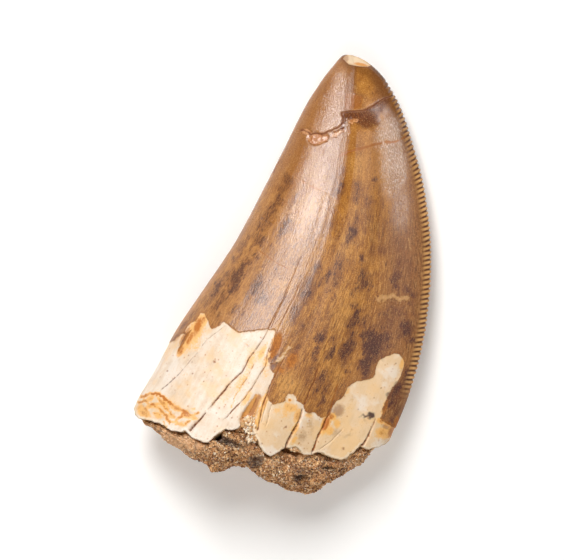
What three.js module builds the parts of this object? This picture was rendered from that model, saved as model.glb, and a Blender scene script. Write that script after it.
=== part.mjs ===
// Fossil tooth of a large meat-eating dinosaur, lying on its side, with the
// sandy matrix that fills and hangs from its broken base.
//
// Millimetres. +Y runs along the crown from the broken base to the tip, +X
// points to the serrated edge, +Z is up. The origin is at the middle of the
// bounding box, on the surface that the tooth lies on.
//
// The crown is a loft: every section across +Y is a lens with a rounded left
// edge, a ridge, a hollowed flank and a thin serrated right edge.

import * as THREE from 'three';

// ---- driving dimensions ---------------------------------------------------

const DATUM = [-0.4671, -19.5286, 0];       // moves the drawing frame to the part's origin
const TIP = { x: 0.35, y: 45.82 };      // worn tip of the crown
const WALL_SCALE_X = 0.74;              // pulp cavity, as a share of the section
const WALL_SCALE_Z = 0.72;
const SOCKET_DEPTH = 4.6;               // open pulp cavity above the broken rim
const GAP = 0.45;                       // radial gap between tooth and matrix
const SHOULDER_GAP = 0.4;               // gap between the rim and the matrix under it
const MATRIX_SCALE = 0.94;              // matrix outline just under the rim
const DENTICLE_PITCH = 0.588;           // along the serrated edge
const DENTICLE_DEPTH = 0.2;
const SERRATION_START = 8.2;            // height where the serration fades in
const SERRATION_END = 45.1;             // and where it runs out below the tip

// Height above the datum, left edge, right edge.
const OUTLINE = [
  [-3.8, -15.95, 13.55], [-1.7, -15.64, 14.2], [0, -15.28, 14.8],
  [1.6, -14.74, 15.24], [3, -14.28, 15.5], [6, -13.48, 16.04],
  [9, -12.64, 16.4], [12, -11.52, 16.56], [15, -10.36, 16.5],
  [18, -9.2, 16.22], [21, -8.14, 15.82], [24, -7.28, 15.24],
  [27, -6.54, 14.44], [30, -5.8, 13.36], [33, -5.08, 12.1],
  [36, -4.4, 10.5], [39, -3.62, 8.8], [41, -2.92, 7.5],
  [43, -2.12, 5.78], [44, -1.62, 4.72], [45, -1.12, 3.2],
  [45.5, -0.78, 2.15], [45.7, -0.45, 1.35], [TIP.y, TIP.x, TIP.x],
];

// Height, rise of the upper ridge and drop of the lower face, both from the
// plane of the two edges, and lift of the lower face above the surface.
const THICKNESS = [
  [-3.8, 9.0, 6.2, 0.35], [0, 9.0, 6.2, 0.05], [3, 8.8, 6.15, -0.25],
  [8, 8.25, 5.9, -0.36], [15, 7.35, 5.3, -0.38], [20, 6.65, 4.8, -0.38],
  [25, 5.85, 4.25, -0.34], [30, 5.0, 3.65, -0.2], [35, 4.05, 3.0, 0.15],
  [38, 3.45, 2.55, 0.5], [41, 2.75, 2.05, 0.95], [43, 2.2, 1.65, 1.3],
  [44, 1.85, 1.4, 1.5], [45, 1.35, 1.0, 1.75], [45.5, 0.9, 0.68, 1.95],
  [45.7, 0.55, 0.42, 2.1], [TIP.y, 0, 0, 2.3],
];

// Ridge position across the width, and how sharply it is creased.
const RIDGE = [
  [-3.8, 0.4, 0], [20, 0.39, 0], [32, 0.385, 0.1], [37, 0.38, 0.45],
  [41, 0.33, 0.8], [43.75, 0.27, 0.85], [TIP.y, 0.3, 0.5],
];

// Share of the ridge height from the ridge (0) to the serrated edge (1).
const FLANK = [
  [0, 1], [0.08, 0.991], [0.2, 0.95], [0.3, 0.885], [0.4, 0.79],
  [0.5, 0.675], [0.6, 0.575], [0.7, 0.495], [0.8, 0.425], [0.88, 0.345],
  [0.94, 0.25], [0.975, 0.16], [0.992, 0.08], [1, 0],
];
const FLANK_FLAT = [
  [0, 1], [0.25, 0.88], [0.5, 0.73], [0.75, 0.55], [0.88, 0.4],
  [0.95, 0.26], [0.985, 0.13], [1, 0],
];

// Broken rim on the upper face and on the face it lies on: x, height.
const RIM_UPPER = [
  [-15.65, -1.6], [-14.4, -2.55], [-12.6, -2.5], [-10.6, -3.1],
  [-9.3, -2.9], [-8.3, -2.6], [-7.05, -3.5], [-6.2, -3.5], [-5.1, -2.4],
  [-4.2, -1.5], [-2.6, -1.1], [-1.2, -0.9], [0, -2.1], [1.1, -3.05],
  [1.9, -3.3], [3, -2.35], [5.5, -2.5], [7.6, -1.5], [9.5, -1.95],
  [10.9, -1.5], [11.9, 0], [13.4, 0.1], [14.8, 0.9], [15.3, 1.6],
];
const RIM_LOWER = [
  [-15.65, -1.6], [-13.5, -2.2], [-11, -1.5], [-8.5, -2.6], [-6, -1.9],
  [-3, -3.0], [0, -2.3], [3, -3.1], [6, -2.0], [9, -1.6], [11.5, -0.4],
  [13.5, 0.2], [15.3, 1.6],
];

// Lower end of the matrix: x, height.
const MATRIX_END = [
  [-15.3, -2.4], [-13.5, -3.2], [-11.7, -3.8], [-9.2, -4.8], [-7.1, -5.6],
  [-5.2, -5.9], [-4.2, -6.4], [-2.5, -5.2], [-0.6, -4.9], [1.5, -6.0],
  [3.3, -6.2], [5, -6.6], [7.8, -6.45], [9.3, -4.9], [11.1, -3.8],
  [12.5, -2.6], [13.6, -0.5], [15.3, 1.2],
];

// Columns of the loft, as shares of the width.
const COLUMNS_UPPER = [
  0.004, 0.016, 0.038, 0.07, 0.11, 0.155, 0.2, 0.245, 0.285, 0.32, 0.35,
  0.385, 0.42, 0.46, 0.5, 0.54, 0.58, 0.62, 0.66, 0.7, 0.74, 0.78, 0.82,
  0.86, 0.895, 0.925, 0.95, 0.972,
];
const COLUMNS_LOWER = [
  0.972, 0.93, 0.86, 0.78, 0.7, 0.6, 0.5, 0.4, 0.31, 0.23, 0.155, 0.09,
  0.045, 0.015,
];
const ROWS = 44;

// ---- curves ---------------------------------------------------------------

// Monotone cubic through the rows of a table, read at column k.
function curve(table, k) {
  const n = table.length;
  const x = table.map((r) => r[0]);
  const y = table.map((r) => r[k]);
  const d = [];
  for (let i = 0; i < n - 1; i++) d.push((y[i + 1] - y[i]) / (x[i + 1] - x[i]));
  const m = new Array(n).fill(0);
  m[0] = d[0];
  m[n - 1] = d[n - 2];
  for (let i = 1; i < n - 1; i++) {
    if (d[i - 1] * d[i] > 0) {
      const a = x[i] - x[i - 1];
      const b = x[i + 1] - x[i];
      m[i] = (3 * (a + b)) / ((2 * b + a) / d[i - 1] + (b + 2 * a) / d[i]);
    }
  }
  return (v) => {
    if (v <= x[0]) return y[0];
    if (v >= x[n - 1]) return y[n - 1];
    let i = 0;
    while (v > x[i + 1]) i++;
    const h = x[i + 1] - x[i];
    const t = (v - x[i]) / h;
    const t2 = t * t;
    const t3 = t2 * t;
    return (2 * t3 - 3 * t2 + 1) * y[i] + (t3 - 2 * t2 + t) * h * m[i]
      + (-2 * t3 + 3 * t2) * y[i + 1] + (t3 - t2) * h * m[i + 1];
  };
}

const leftEdge = curve(OUTLINE, 1);
const rightEdge = curve(OUTLINE, 2);
const rise = curve(THICKNESS, 1);
const drop = curve(THICKNESS, 2);
const lift = curve(THICKNESS, 3);
const ridgeAt = curve(RIDGE, 1);
const crease = curve(RIDGE, 2);
const flank = curve(FLANK, 1);
const flankFlat = curve(FLANK_FLAT, 1);
const rimUpper = curve(RIM_UPPER, 1);
const rimLower = curve(RIM_LOWER, 1);
const matrixEnd = curve(MATRIX_END, 1);

// ---- the crown's surface --------------------------------------------------

const edgePlane = (y) => drop(y) + lift(y);

// Share of the ridge height at s of the width, on the upper face.
function upperShare(s, y) {
  const c = ridgeAt(y);
  const k = crease(y);
  if (s <= c) {
    const l = s / c;
    const kl = 0.3 * k;
    const round = Math.sqrt(Math.max(0, 1 - (1 - l) * (1 - l)));
    return (1 - kl) * round + kl * Math.pow(l, 0.72);
  }
  const r = (s - c) / (1 - c);
  return (1 - k) * flank(r) + k * flankFlat(r);
}

function lowerShare(s) {
  if (s <= 0.5) return Math.pow(Math.max(0, 1 - Math.pow(1 - 2 * s, 2.6)), 0.6);
  return Math.pow(Math.max(0, 1 - Math.pow(2 * s - 1, 2.4)), 0.8);
}

// Point of the crown at share s of the width, height y.
function crown(s, y, upper) {
  const a = leftEdge(y);
  const b = rightEdge(y);
  const z = upper
    ? edgePlane(y) + rise(y) * upperShare(s, y)
    : edgePlane(y) - drop(y) * lowerShare(s);
  return new THREE.Vector3(a + (b - a) * s, y, Math.max(0, z));
}

// Height of the broken rim at share s of the width.
function rimHeight(s, upper) {
  let y = -2;
  for (let i = 0; i < 6; i++) {
    const x = leftEdge(y) + (rightEdge(y) - leftEdge(y)) * s;
    y = (upper ? rimUpper : rimLower)(x);
  }
  return y;
}

// Rows crowd towards the rounded tip.
function rowShare(t) {
  return t < 0.82 ? t * (0.9 / 0.82) : 1 - 0.1 * Math.pow((1 - t) / 0.18, 2.2);
}

// The serrated edge from the rim to the tip, as a fine line of points: at each
// denticle a notch and the two corners of its blunt crest.
function serratedEdge() {
  const line = [];
  const start = rimHeight(1, true);
  const step = 0.02;
  const at = (y) => new THREE.Vector3(rightEdge(y), y, edgePlane(y));
  for (let y = start; y < SERRATION_START; y += 1.1) line.push([y, at(y)]);
  const put = (y, depth) => {
    const p = at(y);
    const q = at(Math.min(y + 0.05, TIP.y - 0.01));
    const along = q.sub(at(y - 0.05)).setZ(0).normalize();
    line.push([y, p.add(new THREE.Vector3(-along.y, along.x, 0).multiplyScalar(depth))]);
  };
  let arc = 0;
  let next = 0;
  let part = 0;
  for (let y = SERRATION_START; y < SERRATION_END; y += step) {
    const dx = rightEdge(y + step) - rightEdge(y);
    arc += Math.hypot(dx, step);
    if (arc >= next) {
      const fade = Math.min(1, (y - SERRATION_START) / 6 + 0.35, (SERRATION_END - y) / 3 + 0.35);
      put(y, part === 0 ? DENTICLE_DEPTH * fade : 0);
      next += DENTICLE_PITCH * [0.3, 0.4, 0.3][part];
      part = (part + 1) % 3;
    }
  }
  for (const y of [45.35, 45.58, 45.72]) line.push([y, at(y)]);
  return line;
}

// ---- triangle mesh helpers ------------------------------------------------

class Shell {
  constructor() {
    this.points = [];
    this.faces = [];
  }

  add(p) {
    this.points.push(p.x, p.y, p.z);
    return this.points.length / 3 - 1;
  }

  tri(a, b, c) {
    if (a !== b && b !== c && c !== a) this.faces.push(a, b, c);
  }

  // Joins two columns of [height share, vertex] that run the same way.
  zip(a, b) {
    let i = 0;
    let j = 0;
    while (i < a.length - 1 || j < b.length - 1) {
      const stepA = j >= b.length - 1
        || (i < a.length - 1 && a[i + 1][0] <= b[j + 1][0]);
      if (stepA) {
        this.tri(a[i][1], b[j][1], a[i + 1][1]);
        i++;
      } else {
        this.tri(a[i][1], b[j][1], b[j + 1][1]);
        j++;
      }
    }
  }

  // Joins two rings of the same length.
  band(a, b) {
    const n = a.length;
    for (let i = 0; i < n; i++) {
      const k = (i + 1) % n;
      this.tri(a[i], a[k], b[k]);
      this.tri(a[i], b[k], b[i]);
    }
  }

  fan(ring, centre) {
    for (let i = 0; i < ring.length; i++) this.tri(ring[i], ring[(i + 1) % ring.length], centre);
  }

  geometry() {
    const g = new THREE.BufferGeometry();
    g.setAttribute('position', new THREE.Float32BufferAttribute(this.points, 3));
    g.setIndex(this.faces);
    let volume = 0;
    const p = this.points;
    for (let f = 0; f < this.faces.length; f += 3) {
      const [a, b, c] = [this.faces[f] * 3, this.faces[f + 1] * 3, this.faces[f + 2] * 3];
      volume += (p[a] * (p[b + 1] * p[c + 2] - p[b + 2] * p[c + 1])
        + p[a + 1] * (p[b + 2] * p[c] - p[b] * p[c + 2])
        + p[a + 2] * (p[b] * p[c + 1] - p[b + 1] * p[c])) / 6;
    }
    if (volume < 0) {
      for (let f = 0; f < this.faces.length; f += 3) {
        const k = this.faces[f];
        this.faces[f] = this.faces[f + 1];
        this.faces[f + 1] = k;
      }
      g.setIndex(this.faces);
    }
    g.computeVertexNormals();
    return g;
  }
}

// The columns round the section, anticlockwise seen from the tip: left edge,
// upper face to the right, serrated edge, lower face back to the left.
const COLUMNS = [
  { s: 0, upper: true },
  ...COLUMNS_UPPER.map((s) => ({ s, upper: true })),
  { s: 1, upper: true, serrated: true },
  ...COLUMNS_LOWER.map((s) => ({ s, upper: false })),
];

function centreAt(y) {
  return new THREE.Vector3(
    leftEdge(y) + (rightEdge(y) - leftEdge(y)) * 0.46,
    y,
    edgePlane(y) + (rise(y) - drop(y)) * 0.36,
  );
}

// A section point drawn in towards the centre line.
function drawnIn(col, y, kx, kz, inset) {
  const p = crown(col.s, y, col.upper);
  const c = centreAt(y);
  const v = new THREE.Vector3((p.x - c.x) * kx, 0, (p.z - c.z) * kz);
  if (inset) v.setLength(Math.max(0.2, v.length() - inset));
  return c.add(v);
}

function toothGeometry() {
  const shell = new Shell();
  const tip = shell.add(new THREE.Vector3(TIP.x, TIP.y, edgePlane(TIP.y)));
  const lines = COLUMNS.map((col) => {
    const y0 = rimHeight(col.s, col.upper);
    if (col.serrated) {
      const line = serratedEdge().map(([y, p]) => [(y - y0) / (TIP.y - y0), shell.add(p)]);
      line.push([1, tip]);
      return line;
    }
    const line = [];
    for (let r = 0; r < ROWS; r++) {
      const t = rowShare(r / ROWS);
      line.push([t, shell.add(crown(col.s, y0 + (TIP.y - y0) * t, col.upper))]);
    }
    line.push([1, tip]);
    return line;
  });
  for (let i = 0; i < lines.length; i++) shell.zip(lines[i], lines[(i + 1) % lines.length]);

  // Over the broken rim and up into the pulp cavity.
  let ring = lines.map((l) => l[0][1]);
  const steps = [[0, 1], [0.3, 0.99], [0.62, 0.93], [0.88, 0.76], [1, 0.45]];
  for (const [up, size] of steps) {
    const next = COLUMNS.map((col) => {
      const y0 = rimHeight(col.s, col.upper);
      const y = y0 + (SOCKET_DEPTH - 0.35 * (y0 + 2)) * up;
      return shell.add(drawnIn(col, y, WALL_SCALE_X * size, WALL_SCALE_Z * size, 0));
    });
    shell.band(next, ring);
    ring = next;
  }
  const end = centreAt(-2 + SOCKET_DEPTH);
  shell.fan([...ring].reverse(), shell.add(end));
  return shell.geometry();
}

// Uneven surface of the sediment: a fixed sum of waves, in mm.
function lumps(x, y, z) {
  return 0.34 * Math.sin(1.31 * x + 0.7 * z + 0.4) * Math.cos(0.93 * y - 0.6 * x + 1.1)
    + 0.2 * Math.sin(2.3 * z + 1.7 * x + 2.2);
}

function matrixGeometry() {
  const shell = new Shell();
  const ringOf = (fn) => COLUMNS.map((col) => shell.add(fn(col)));
  const rings = [];
  const plug = (up, size) => (col) => {
    const y0 = rimHeight(col.s, col.upper);
    const y = y0 + (SOCKET_DEPTH - 0.35 * (y0 + 2)) * up - GAP;
    return drawnIn(col, y, WALL_SCALE_X * size, WALL_SCALE_Z * size, GAP);
  };
  rings.push(ringOf(plug(0.86, 0.7)));
  rings.push(ringOf(plug(0.62, 0.9)));
  rings.push(ringOf(plug(0.3, 0.98)));
  rings.push(ringOf(plug(0.06, 0.99)));
  const body = (down, size) => (col) => {
    const y0 = rimHeight(col.s, col.upper) - SHOULDER_GAP;
    const p = drawnIn(col, y0, MATRIX_SCALE * size, MATRIX_SCALE * size, 0);
    const end = Math.min(matrixEnd(p.x), y0 - 0.5);
    p.y = y0 + (end - y0) * down;
    if (down > 0.3) {
      const room = Math.min(1, (y0 - end) / 3);
      p.y += 0.5 * room * lumps(p.x, p.y, p.z);
      p.z += (down > 0.9 ? 0.2 : 0.4) * room * lumps(p.z, p.x, p.y);
    }
    return p;
  };
  rings.push(ringOf(body(0, 0.985)));
  rings.push(ringOf(body(0.45, 1.0)));
  rings.push(ringOf(body(0.8, 0.93)));
  rings.push(ringOf(body(0.96, 0.78)));
  rings.push(ringOf(body(1, 0.5)));
  for (let i = 0; i < rings.length - 1; i++) shell.band(rings[i + 1], rings[i]);
  const top = centreAt(-2 + SOCKET_DEPTH * 0.86 - GAP);
  shell.fan(rings[0], shell.add(top));
  const foot = centreAt(-3.5);
  foot.y = matrixEnd(foot.x) - 0.1;
  shell.fan([...rings[rings.length - 1]].reverse(), shell.add(foot));
  return shell.geometry();
}

// ---- the part -------------------------------------------------------------

const tooth = new THREE.Mesh(
  toothGeometry(),
  new THREE.MeshStandardMaterial({ color: 0xa9733c, roughness: 0.38, metalness: 0, flatShading: true }),
);
tooth.name = 'tooth';

const matrix = new THREE.Mesh(
  matrixGeometry(),
  new THREE.MeshStandardMaterial({ color: 0x8a6a4c, roughness: 0.95, metalness: 0, flatShading: true }),
);
matrix.name = 'matrix';

const part = new THREE.Group();
part.position.set(...DATUM);
part.add(tooth, matrix);

export default part;
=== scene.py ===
import math

import bpy
import numpy as np
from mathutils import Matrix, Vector
from mathutils.geometry import delaunay_2d_cdt


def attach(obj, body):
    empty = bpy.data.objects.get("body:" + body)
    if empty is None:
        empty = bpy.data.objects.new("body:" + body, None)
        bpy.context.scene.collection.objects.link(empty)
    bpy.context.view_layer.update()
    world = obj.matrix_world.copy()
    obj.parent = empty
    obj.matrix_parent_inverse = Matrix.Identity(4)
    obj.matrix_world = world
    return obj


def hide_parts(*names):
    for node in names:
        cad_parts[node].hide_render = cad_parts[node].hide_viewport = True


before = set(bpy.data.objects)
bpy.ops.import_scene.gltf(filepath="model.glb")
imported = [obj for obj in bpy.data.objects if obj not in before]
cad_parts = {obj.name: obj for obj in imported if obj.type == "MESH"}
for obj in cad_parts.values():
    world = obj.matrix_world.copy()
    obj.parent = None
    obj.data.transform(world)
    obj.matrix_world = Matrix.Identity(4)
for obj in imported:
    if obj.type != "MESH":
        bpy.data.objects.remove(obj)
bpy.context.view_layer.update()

# Everything below is worked out in millimetres in the drawing frame: the
# part's own frame before DATUM moves its box over the origin.
DATUM = np.array([-0.4671, -19.5286, 0.0])
TIP_X, TIP_Y = 0.35, 45.82
WALL_X, WALL_Z = 0.74, 0.72

# ---------------------------------------------------------------------------
# the camera, and the way back from a point to the picture
# ---------------------------------------------------------------------------
TURN = math.radians(13.2)      # lean of the crown in the picture
SCALE = 0.12                   # mm for one pixel of the picture
ANCHOR = (262.0, 425.0)        # pixel of the drawing frame's zero
LENS = 400.0
REF_Z = 5.0                    # height at which SCALE holds, mm
DIST = 564 * SCALE * LENS / 36.0
COS, SIN = math.cos(TURN), math.sin(TURN)


def to_mm(px, py):
    dx, dy = px - ANCHOR[0], py - ANCHOR[1]
    return (dx * COS + dy * SIN) * SCALE, (dx * SIN - dy * COS) * SCALE


CENTRE = to_mm(281.5, 279.5)


def to_px(p):
    """Pixel of each drawing-frame point, as the camera sees it."""
    k = DIST / (DIST - (p[:, 2] - REF_Z))
    x = CENTRE[0] + (p[:, 0] - CENTRE[0]) * k
    y = CENTRE[1] + (p[:, 1] - CENTRE[1]) * k
    return np.stack([ANCHOR[0] + (x * COS + y * SIN) / SCALE,
                     ANCHOR[1] + (x * SIN - y * COS) / SCALE], 1)


camera = bpy.data.objects.new("camera", bpy.data.cameras.new("camera"))
bpy.context.collection.objects.link(camera)
camera.data.lens = LENS
camera.data.sensor_width = 36.0
camera.data.clip_start = 0.01
camera.data.clip_end = 20.0
camera.location = ((CENTRE[0] + DATUM[0]) / 1000, (CENTRE[1] + DATUM[1]) / 1000, (DIST + REF_Z) / 1000)
camera.rotation_euler = (0.0, 0.0, TURN)
bpy.context.scene.camera = camera

# ---------------------------------------------------------------------------
# small tools: curves, noise, distances
# ---------------------------------------------------------------------------


def curve(rows, k):
    """Monotone cubic through a table's rows, read at column k."""
    x = np.array([r[0] for r in rows], float)
    y = np.array([r[k] for r in rows], float)
    h = np.diff(x)
    d = np.diff(y) / h
    m = np.zeros(len(x))
    m[0], m[-1] = d[0], d[-1]
    for i in range(1, len(x) - 1):
        if d[i - 1] * d[i] > 0:
            m[i] = 3 * (h[i - 1] + h[i]) / ((2 * h[i] + h[i - 1]) / d[i - 1] + (h[i] + 2 * h[i - 1]) / d[i])

    def at(v):
        v = np.clip(np.asarray(v, float), x[0], x[-1])
        i = np.clip(np.searchsorted(x, v, side="right") - 1, 0, len(h) - 1)
        t = (v - x[i]) / h[i]
        t2, t3 = t * t, t * t * t
        return ((2 * t3 - 3 * t2 + 1) * y[i] + (t3 - 2 * t2 + t) * h[i] * m[i]
                + (-2 * t3 + 3 * t2) * y[i + 1] + (t3 - t2) * h[i] * m[i + 1])
    return at


def smooth(a, b, v):
    t = np.clip((v - a) / (b - a), 0, 1)
    return t * t * (3 - 2 * t)


def hashed(i, j, k, seed):
    n = (i * 374761393 + j * 668265263 + k * 2147483647 + seed * 1274126177) & 0xFFFFFFFF
    n = ((n ^ (n >> 13)) * 1274126177) & 0xFFFFFFFF
    n = ((n ^ (n >> 16)) * 2246822519) & 0xFFFFFFFF
    return ((n ^ (n >> 15)) & 0xFFFFFF) / float(0xFFFFFF)


def noise(p, seed=0):
    """Value noise in -1..1 at 2-D or 3-D points."""
    p = np.asarray(p, float)
    if p.shape[1] == 2:
        p = np.concatenate([p, np.zeros((len(p), 1))], 1)
    q = np.floor(p).astype(np.int64)
    f = p - q
    f = f * f * f * (f * (f * 6 - 15) + 10)
    out = np.zeros(len(p))
    for a in (0, 1):
        for b in (0, 1):
            for c in (0, 1):
                w = ((f[:, 0] if a else 1 - f[:, 0]) * (f[:, 1] if b else 1 - f[:, 1])
                     * (f[:, 2] if c else 1 - f[:, 2]))
                out += w * hashed(q[:, 0] + a, q[:, 1] + b, q[:, 2] + c, seed)
    return out * 2 - 1


def fbm(p, seed=0, octaves=4, gain=0.5):
    total, amp, size = 0.0, 1.0, 0.0
    p = np.asarray(p, float)
    for o in range(octaves):
        total = total + amp * noise(p * (2.03 ** o) + 17.3 * o, seed + o)
        size += amp
        amp *= gain
    return total / size


def line_distance(p, pts, reach):
    """Distance of each point to a polyline and the share of its length there;
    points further than reach get reach."""
    pts = np.asarray(pts, float)
    a, b = pts[:-1], pts[1:]
    seg = b - a
    length = np.linalg.norm(seg, axis=1)
    start = np.concatenate([[0], np.cumsum(length)])[:-1]
    total = max(length.sum(), 1e-9)
    dist = np.full(len(p), float(reach))
    share = np.zeros(len(p))
    lo, hi = pts.min(0) - reach, pts.max(0) + reach
    near = np.nonzero(((p >= lo) & (p <= hi)).all(1))[0]
    for chunk in np.array_split(near, max(1, len(near) // 20000)):
        if not len(chunk):
            continue
        q = p[chunk]
        t = ((q[:, None, :] - a) * seg).sum(2) / np.maximum(length ** 2, 1e-12)
        t = np.clip(t, 0, 1)
        d = np.linalg.norm(q[:, None, :] - (a + t[..., None] * seg), axis=2)
        j = d.argmin(1)
        r = np.arange(len(chunk))
        got = d[r, j]
        hit = got < dist[chunk]
        dist[chunk[hit]] = got[hit]
        share[chunk[hit]] = ((start[j] + t[r, j] * length[j]) / total)[hit]
    return dist, share


def inside(p, poly):
    poly = np.asarray(poly, float)
    out = np.zeros(len(p), bool)
    x, y = p[:, 0], p[:, 1]
    for (x1, y1), (x2, y2) in zip(poly, np.roll(poly, -1, axis=0)):
        if y1 == y2:
            continue
        cross = ((y1 > y) != (y2 > y)) & (x < (x2 - x1) * (y - y1) / (y2 - y1) + x1)
        out ^= cross
    return out


def resample(pts, step):
    pts = np.asarray(pts, float)
    length = np.concatenate([[0], np.cumsum(np.linalg.norm(np.diff(pts, axis=0), axis=1))])
    n = max(1, int(round(length[-1] / step)))
    t = np.linspace(0, length[-1], n + 1)
    return np.stack([np.interp(t, length, pts[:, i]) for i in range(pts.shape[1])], 1)


# ---------------------------------------------------------------------------
# the crown's form, as in the CAD model
# ---------------------------------------------------------------------------
OUTLINE = [
    [-3.8, -15.95, 13.55], [-1.7, -15.64, 14.2], [0, -15.28, 14.8],
    [1.6, -14.74, 15.24], [3, -14.28, 15.5], [6, -13.48, 16.04],
    [9, -12.64, 16.4], [12, -11.52, 16.56], [15, -10.36, 16.5],
    [18, -9.2, 16.22], [21, -8.14, 15.82], [24, -7.28, 15.24],
    [27, -6.54, 14.44], [30, -5.8, 13.36], [33, -5.08, 12.1],
    [36, -4.4, 10.5], [39, -3.62, 8.8], [41, -2.92, 7.5],
    [43, -2.12, 5.78], [44, -1.62, 4.72], [45, -1.12, 3.2],
    [45.5, -0.78, 2.15], [45.7, -0.45, 1.35], [TIP_Y, TIP_X, TIP_X],
]
THICKNESS = [
    [-3.8, 9.0, 6.2, 0.35], [0, 9.0, 6.2, 0.05], [3, 8.8, 6.15, -0.25],
    [8, 8.25, 5.9, -0.36], [15, 7.35, 5.3, -0.38], [20, 6.65, 4.8, -0.38],
    [25, 5.85, 4.25, -0.34], [30, 5.0, 3.65, -0.2], [35, 4.05, 3.0, 0.15],
    [38, 3.45, 2.55, 0.5], [41, 2.75, 2.05, 0.95], [43, 2.2, 1.65, 1.3],
    [44, 1.85, 1.4, 1.5], [45, 1.35, 1.0, 1.75], [45.5, 0.9, 0.68, 1.95],
    [45.7, 0.55, 0.42, 2.1], [TIP_Y, 0, 0, 2.3],
]
RIDGE = [
    [-3.8, 0.4, 0], [20, 0.39, 0], [32, 0.385, 0.1], [37, 0.38, 0.45],
    [41, 0.33, 0.8], [43.75, 0.27, 0.85], [TIP_Y, 0.3, 0.5],
]
FLANK = [
    [0, 1], [0.08, 0.991], [0.2, 0.95], [0.3, 0.885], [0.4, 0.79],
    [0.5, 0.675], [0.6, 0.575], [0.7, 0.495], [0.8, 0.425], [0.88, 0.345],
    [0.94, 0.25], [0.975, 0.16], [0.992, 0.08], [1, 0],
]
FLANK_FLAT = [
    [0, 1], [0.25, 0.88], [0.5, 0.73], [0.75, 0.55], [0.88, 0.4],
    [0.95, 0.26], [0.985, 0.13], [1, 0],
]
RIM_UPPER = [
    [-15.65, -1.6], [-14.4, -2.55], [-12.6, -2.5], [-10.6, -3.1],
    [-9.3, -2.9], [-8.3, -2.6], [-7.05, -3.5], [-6.2, -3.5], [-5.1, -2.4],
    [-4.2, -1.5], [-2.6, -1.1], [-1.2, -0.9], [0, -2.1], [1.1, -3.05],
    [1.9, -3.3], [3, -2.35], [5.5, -2.5], [7.6, -1.5], [9.5, -1.95],
    [10.9, -1.5], [11.9, 0], [13.4, 0.1], [14.8, 0.9], [15.3, 1.6],
]
RIM_LOWER = [
    [-15.65, -1.6], [-13.5, -2.2], [-11, -1.5], [-8.5, -2.6], [-6, -1.9],
    [-3, -3.0], [0, -2.3], [3, -3.1], [6, -2.0], [9, -1.6], [11.5, -0.4],
    [13.5, 0.2], [15.3, 1.6],
]

left_edge, right_edge = curve(OUTLINE, 1), curve(OUTLINE, 2)
rise, drop, lift = curve(THICKNESS, 1), curve(THICKNESS, 2), curve(THICKNESS, 3)
ridge_at, crease = curve(RIDGE, 1), curve(RIDGE, 2)
flank, flank_flat = curve(FLANK, 1), curve(FLANK_FLAT, 1)
rim_upper_of, rim_lower_of = curve(RIM_UPPER, 1), curve(RIM_LOWER, 1)


def edge_plane(y):
    return drop(y) + lift(y)


def upper_share(s, y):
    c, k = ridge_at(y), crease(y)
    l = np.clip(s / c, 0, 1)
    kl = 0.3 * k
    left = (1 - kl) * np.sqrt(np.maximum(0, 1 - (1 - l) ** 2)) + kl * l ** 0.72
    r = np.clip((s - c) / (1 - c), 0, 1)
    right = (1 - k) * flank(r) + k * flank_flat(r)
    return np.where(s <= c, left, right)


def lower_share(s):
    a = np.maximum(0, 1 - np.maximum(0, 1 - 2 * s) ** 2.6) ** 0.6
    b = np.maximum(0, 1 - np.maximum(0, 2 * s - 1) ** 2.4) ** 0.8
    return np.where(s <= 0.5, a, b)


def crown(s, y, upper):
    s, y = np.broadcast_arrays(np.asarray(s, float), np.asarray(y, float))
    a, b = left_edge(y), right_edge(y)
    z = (edge_plane(y) + rise(y) * upper_share(s, y)) if upper else (edge_plane(y) - drop(y) * lower_share(s))
    return np.stack([a + (b - a) * s, y, np.maximum(0, z)], -1)


def share_of(x, y):
    a, b = left_edge(y), right_edge(y)
    return (x - a) / np.maximum(b - a, 1e-6)


def place(px, py, upper=True):
    """Drawing-frame x, y and share of the face under a pixel (the upper face unless upper is False)."""
    px = np.asarray(px, float) - 0.5
    py = np.asarray(py, float) - 0.5
    x0, y0 = to_mm(px, py)
    x, y = x0.copy(), y0.copy()
    for _ in range(4):
        s = np.clip(share_of(x, y), 0, 1)
        z = crown(s, y, upper)[..., 2]
        k = (DIST - (z - REF_Z)) / DIST
        x = CENTRE[0] + (x0 - CENTRE[0]) * k
        y = CENTRE[1] + (y0 - CENTRE[1]) * k
    return x, y, np.clip(share_of(x, y), 0, 1)


# The face is laid out flat for meshing: u is the length along the section
# from its middle, v is the height. TABLE turns the share of that length into
# the share of the width, for each height.
YS = np.concatenate([np.linspace(-3.8, 43, 180), np.linspace(43.1, TIP_Y, 60)])
FRACTIONS = np.linspace(0, 1, 401)


def lay_out(upper):
    s = (1 - np.cos(np.linspace(0, math.pi, 1201))) / 2
    table, back, lengths = [], [], []
    s_even = np.linspace(0, 1, 801)
    for y in YS:
        p = crown(s, np.full_like(s, y), upper)
        step = np.linalg.norm(np.diff(p, axis=0), axis=1) + 1e-9
        run = np.concatenate([[0], np.cumsum(step)])
        lengths.append(run[-1])
        table.append(np.interp(FRACTIONS, run / run[-1], s))
        back.append(np.interp(s_even, s, run / run[-1]))
    return np.array(table), np.array(back), np.array(lengths)


LAYOUT = {side: lay_out(side) for side in (True, False)}


def grid_read(table, row, col):
    r = np.clip(np.searchsorted(YS, row) - 1, 0, len(YS) - 2)
    tr = np.clip((row - YS[r]) / (YS[r + 1] - YS[r]), 0, 1)
    n = table.shape[1] - 1
    c = np.clip((col * n).astype(int), 0, n - 1)
    tc = np.clip(col * n - c, 0, 1)
    return ((table[r, c] * (1 - tc) + table[r, c + 1] * tc) * (1 - tr)
            + (table[r + 1, c] * (1 - tc) + table[r + 1, c + 1] * tc) * tr)


def face_length(y, upper):
    return np.interp(y, YS, LAYOUT[upper][2])


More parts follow.
